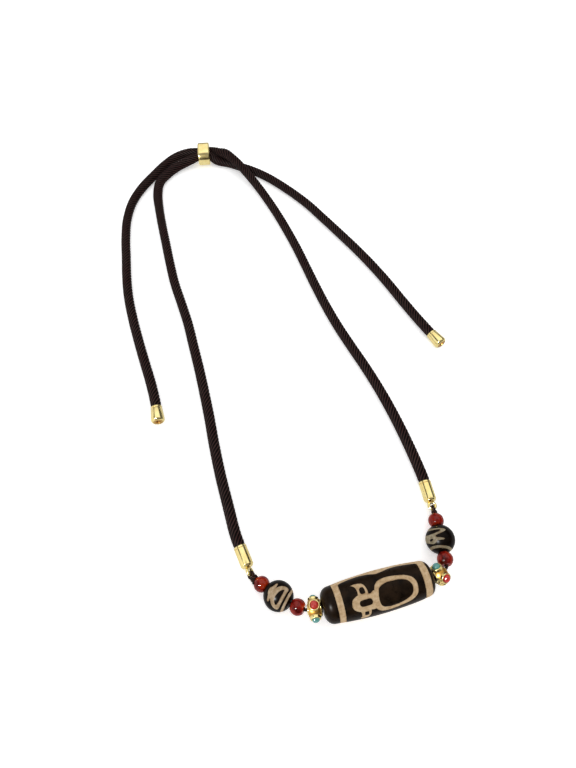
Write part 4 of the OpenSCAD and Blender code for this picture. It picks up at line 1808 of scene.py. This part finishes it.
@dataclass
class BeadThread:
    """The twisted thread through the beads, with a loop and a knot at each cap."""

    string: BeadString
    diameter: float = 1.3
    loop_turns: Point = (50.0, 0.0)
    loop_sweep: float = 125.0
    slack: float = 0.1
    knot_wire: Point = (0.52, 0.42)
    knot_turns: Point = (2.6, 2.8)
    knot_steps: int = 60
    cut_end: tuple[Spot, ...] = ((0, 0, 0), (-0.6, -1.2, 1.4), (-0.9, -2.2, 2.4))

    def build(self) -> bpy.types.Object:
        """Builds the thread in one piece.

        Returns:
            The thread's object.
        """
        s = self.string
        knot = Place.KNOT
        rope = Rope(self.diameter / 2, strands=3, lead=4.2, groove=0.2)
        inner = [s.middle(Side.LEFT, knot)]
        inner += [s.joint(Side.LEFT, i) for i in range(knot, -1, -1)]
        inner += [s.joint(Side.RIGHT, i) for i in range(knot + 1)]
        inner += [s.middle(Side.RIGHT, knot)]
        rope.run(self.softened(rows(inner)))
        for side in Side:
            self.loop(rope, side)
            self.knot(rope, side)
        return rope.piece("twisted_bead_thread", "bead_thread", THREAD)

    @staticmethod
    def softened(points: np.ndarray, gap: float = 0.3, rounds: int = 3) -> np.ndarray:
        """The thread's line: straight in each bead, with a small bend at each joint.

        Args:
            points: The joints, one row for each.
            gap: Step length along the line.
            rounds: How often each point moves half way to the middle of its neighbours.

        Returns:
            The line's points.
        """
        line = evenly(points, gap)
        for _ in range(rounds):
            line[1:-1] = (line[:-2] + 2 * line[1:-1] + line[2:]) / 4
        return line

    def loop(self, rope: Rope, side: Side) -> None:
        """Lays the thread's own loop around the wire of a cap's loop.

        Args:
            rope: The rope that the loop joins.
            side: Which end.
        """
        s = self.string
        turn = math.radians(self.loop_turns[side])
        way = s.cap_way(side)
        normal = (math.sin(turn) * along(s.course(side, Place.CAP) + 90)
                  - Vector((0, 0, math.cos(turn))))
        grip = s.loop_wire / 2 + self.diameter / 2 + self.slack
        wire_at = s.loop_at(side) - (s.loop_d - s.loop_wire) / 2 * way
        knot = s.middle(side, Place.KNOT)
        arc_points = [wire_at + grip * (math.cos(a) * way + math.sin(a) * normal)
                      for a in np.radians(np.linspace(-self.loop_sweep, self.loop_sweep, 11))]
        rope.run(self.softened(rows((knot, *arc_points, knot)), gap=0.25), start=0.3)

    def knot(self, rope: Rope, side: Side) -> None:
        """Winds the knot in turns around the thread, with a short cut end.

        Args:
            rope: The rope that the knot joins.
            side: Which end.
        """
        s = self.string
        matrix = s.seat(side, Place.KNOT)
        half, wide = s.knot_len[side] / 2 + 0.2, s.knot_d[side] / 2 + 0.15
        thick = self.knot_wire[side]
        winding = Rope(thick, strands=3, lead=3.0, groove=0.1)
        line = []
        for t in np.linspace(0, 1, self.knot_steps):
            a, swell = math.tau * self.knot_turns[side] * t, math.sin(math.pi * t) ** 0.4
            r, z = (wide - thick) * (0.45 + 0.55 * swell), (2 * t - 1) * (half - thick)
            line.append(matrix @ Vector((r * math.cos(a), r * math.sin(a), z)))
        winding.run(rows(line))
        if side is Side.LEFT:
            stub = [s.middle(side, Place.KNOT) + Vector(point) for point in self.cut_end]
            winding.run(smooth_line(rows(stub), gap=0.25))
        first = sum(len(v) for v in rope.verts)
        rope.verts += winding.verts
        rope.faces += [tuple(first + k for k in face) for face in winding.faces]
        rope.ridge += winding.ridge
        rope.lay += winding.lay


# ---- Studio -----------------------------------------------------------------------------


@dataclass
class Studio:
    """The table, the light and the camera."""

    camera_at: Spot = (-0.0468, -0.1659, 0.2394)
    azimuth: float = 18.46
    depression: float = 59.44
    focal: float = 577.0
    long_side: float = 768.0
    sensor: float = 36.0
    room_light: float = 1.0
    side_glow: tuple[Point, ...] = (
        (0.0, 0.8), (0.2, 0.95), (0.335, 1.05), (0.355, 0.03), (0.395, 0.03), (0.415, 1.15),
        (0.62, 1.25), (0.66, 0.04), (0.72, 0.04), (0.75, 0.8), (1.0, 0.7))
    ahead_glow: tuple[Point, ...] = (
        (0.0, 0.85), (0.42, 0.85), (0.48, 0.1), (0.6, 0.1), (0.72, 1.0), (0.9, 1.25), (1.0, 1.25))
    unlit: Spot = (0.0, -0.75, 0.66)

    def camera(self) -> None:
        """Sets the camera at the photograph's place and angle."""
        data = bpy.data.cameras.new("photo_camera")
        data.sensor_width = self.sensor
        data.lens = self.focal * self.sensor / self.long_side
        data.clip_start, data.clip_end = 0.01, 20
        made = bpy.data.objects.new("photo_camera", data)
        turn = turned(-self.azimuth, "Z") @ turned(90 - self.depression, "X")
        made.matrix_world = Matrix.Translation(self.camera_at) @ turn
        bpy.context.scene.collection.objects.link(made)
        bpy.context.scene.camera = made

    def table(self) -> None:
        """Lays the pale table."""
        bm = bmesh.new()
        bmesh.ops.create_grid(bm, x_segments=4, y_segments=4, size=3.0)
        mesh = bpy.data.meshes.new("table")
        bm.to_mesh(mesh)
        bm.free()
        mesh.materials.append(TablePaper().material())
        made = bpy.data.objects.new("table", mesh)
        made.visible_glossy = False
        bpy.context.scene.collection.objects.link(made)

    def lamp(self, name: str, way: Spot, far: float, size: float,
             power: float) -> None:
        """Hangs one small lamp that only leaves its spark on polished pieces.

        Args:
            name: The lamp's name.
            way: Direction from the necklace to the lamp.
            far: How far away it hangs, in metres.
            size: Side of its square face, in metres.
            power: Its power in watts.
        """
        data = bpy.data.lights.new(name, "AREA")
        data.energy, data.size = power, size
        made = bpy.data.objects.new(name, data)
        made.visible_diffuse = False
        back = Vector(way).normalized()
        made.location = back * far
        made.rotation_mode = "QUATERNION"
        made.rotation_quaternion = back.to_track_quat("Z", "Y")
        bpy.context.scene.collection.objects.link(made)

    def sky(self) -> None:
        """Lights the room: bright panels to both sides, dimmer ahead, dark near the level."""
        world = bpy.data.worlds.new("soft_room")
        bpy.context.scene.world = world
        world.use_nodes = True
        world.node_tree.nodes.clear()
        add = partial(add_node, world.node_tree)
        where = add("TexCoord").outputs["Generated"]
        part = add("SeparateXYZ", {"Vector": where}).outputs
        # Over from straight down by the left (0.25), straight up (0.5) and the right (0.75).
        angle = add("Math", {"operation": "ARCTAN2", 0: part["X"], 1: part["Z"]})
        over = add("Math", {"operation": "MULTIPLY_ADD", 0: angle, 1: 1 / math.tau, 2: 0.5})
        up = add("Math", {"operation": "MULTIPLY_ADD", 0: part["Z"], 1: 0.5, 2: 0.5})
        sides = add("ValToRGB", {"Fac": over, "stops": [
            (at, (v, v, v, 1)) for at, v in self.side_glow]})
        ahead = add("ValToRGB", {"Fac": up, "stops": [
            (at, (v, v, v, 1)) for at, v in self.ahead_glow]})
        flat = add("CombineXYZ", {"X": part["X"], "Y": part["Y"]})
        level = add("VectorMath", {"operation": "LENGTH", 0: flat})
        share = add("Math", {"operation": "DIVIDE", 0: part["X"], 1: level})
        share = add("Math", {"operation": "ABSOLUTE", 0: share})
        share = add("MapRange", {"interpolation_type": "SMOOTHSTEP", "Value": share,
                                 "From Min": 0.25, "From Max": 0.7})
        room = add("Mix", {"data_type": "RGBA", "Factor": share, "A": ahead, "B": sides})
        # On the viewer's side the room is dim; only polished pieces show it.
        near = add("VectorMath", {"operation": "DOT_PRODUCT", 0: where, 1: self.unlit})
        near = add("MapRange", {"interpolation_type": "SMOOTHSTEP", "Value": near,
                                "From Min": 0.62, "From Max": 0.7, "To Max": 0.78})
        ray = add("LightPath").outputs
        near = add("Math", {"operation": "MULTIPLY", 0: near, 1: ray["Is Glossy Ray"]})
        room = add("Mix", {"data_type": "RGBA", "Factor": near, "A": room, "B": "#1c1a18"})
        plain = add("Mix", {"data_type": "RGBA", "Factor": ray["Is Camera Ray"], "A": room,
                            "B": "#f7f7f7"})
        light = add("Background", {"Color": plain, "Strength": self.room_light})
        add("OutputWorld", {"Surface": light})

    def build(self) -> None:
        """Sets up the camera, the table and the light."""
        self.camera()
        self.table()
        self.sky()
        self.lamp("spark_lamp", way=(-0.58, -0.42, 0.7), far=0.9, size=0.08, power=17.0)
        bpy.context.scene.view_settings.view_transform = "Standard"


# ---- The necklace -----------------------------------------------------------------------

RIGHT_TO_RING = (
    (38.4, -94, 0), (38.8, -81, 0), (38.7, -67, 0), (37.9, -52, 0), (36.3, -37, 0),
    (34.2, -23, 0), (32.3, -9, 0), (31.1, 5, 0), (30.5, 19, 0), (30.2, 33, 0),
    (29.9, 47, 0), (29.1, 61, 0), (27.9, 75, 0), (26.1, 89, 0.1), (23.6, 102, 0.8),
    (20.2, 112.8, 2.7), (17.2, 120.6, 4.5), (14.4, 127, 5.1), (11.6, 132, 5), (9, 135.8, 3.3),
    (6.7, 138.6, 2.6),
)
RING_TO_LEFT_TIP = (
    (-7, 143.2, 1.8), (-12, 144, 1.1), (-18, 142.9, 0.4), (-25, 138.8, 0), (-33, 131.8, 0),
    (-42, 123.2, 0), (-49.6, 113, 0), (-55.2, 100, 0), (-58.6, 86, 0), (-61, 71.5, 0),
    (-63.3, 57.5, 0), (-64.9, 43.5, 0), (-65.4, 29, 0), (-65.3, 15, 0), (-64.9, 1, 0),
    (-64.4, -13, 0.2),
)
LEFT_TO_RING = (
    (-46, -94.5, 0), (-45.6, -82, 0), (-45.1, -68, 0), (-44, -53, 0), (-42.6, -39, 0),
    (-41.5, -25, 0), (-40.6, -11, 0), (-40, 3, 0), (-39.4, 17, 0), (-39.6, 31, 0),
    (-39.9, 45, 0), (-39.2, 60, 0), (-38.2, 74.5, 0), (-37.2, 89, 0), (-35.9, 103, 0),
    (-34.2, 115, 0), (-30.7, 124.8, 0), (-24.8, 130.3, 0.2), (-18.2, 133.9, 0.7),
    (-11.6, 135.6, 1.5),
)
RING_TO_RIGHT_TIP = (
    (5.6, 132.8, 0.9), (8.8, 131.2, 0.1), (12.2, 129, 0), (17.4, 124.2, 0), (24.6, 117.4, 0),
    (32.4, 107.5, 0), (40.6, 93, 0), (46.9, 79.3, 0), (51.8, 65, 0), (56.4, 51, 0),
    (60.8, 37, 0), (64.6, 23, 0), (67.6, 9.5, 0), (70.2, -5, 0), (72.7, -18, 0.2),
)


def main() -> None:
    """Builds the studio and the necklace piece by piece."""
    logging.basicConfig(level=logging.INFO, format="%(name)s %(message)s")
    Studio().build()
    string, ring = BeadString(), SlideRing()
    tips = {Side.LEFT: CordTip(Side.LEFT, mouth=(-64.6, -26.2), course=-96),
            Side.RIGHT: CordTip(Side.RIGHT, mouth=(74.8, -28.4), course=-75)}
    made_ring = ring.build()
    made_tips = {side: tip.build() for side, tip in tips.items()}
    BraidedCord(string, ring, tips[Side.LEFT], Side.RIGHT, RIGHT_TO_RING, RING_TO_LEFT_TIP).build(
        [made_tips[Side.LEFT]])
    BraidedCord(string, ring, tips[Side.RIGHT], Side.LEFT, LEFT_TO_RING, RING_TO_RIGHT_TIP).build(
        [made_tips[Side.RIGHT], made_ring])
    MainBead(string).build()
    RoundBead(string, Side.LEFT, LEFT_MOTIF, band=(-4.36, -3.48), lean=(11, -30),
              finish=AGATE_WARM).build()
    RoundBead(string, Side.RIGHT, RIGHT_MOTIF, band=(-4.76, -4.0), lean=(11, 60),
              finish=AGATE_GREY).build()
    for side in Side:
        for place in (Place.INNER, Place.OUTER):
            SmallBead(string, side, place).build()
    for side, turn in ((Side.LEFT, 191), (Side.RIGHT, 225)):
        Spacer(string, side, turn).build()
    for side, turn in ((Side.LEFT, 50), (Side.RIGHT, 0)):
        CordCap(string, side, loop_turn=turn).build()
    BeadThread(string).build()


if __name__ == "__main__":
    main()
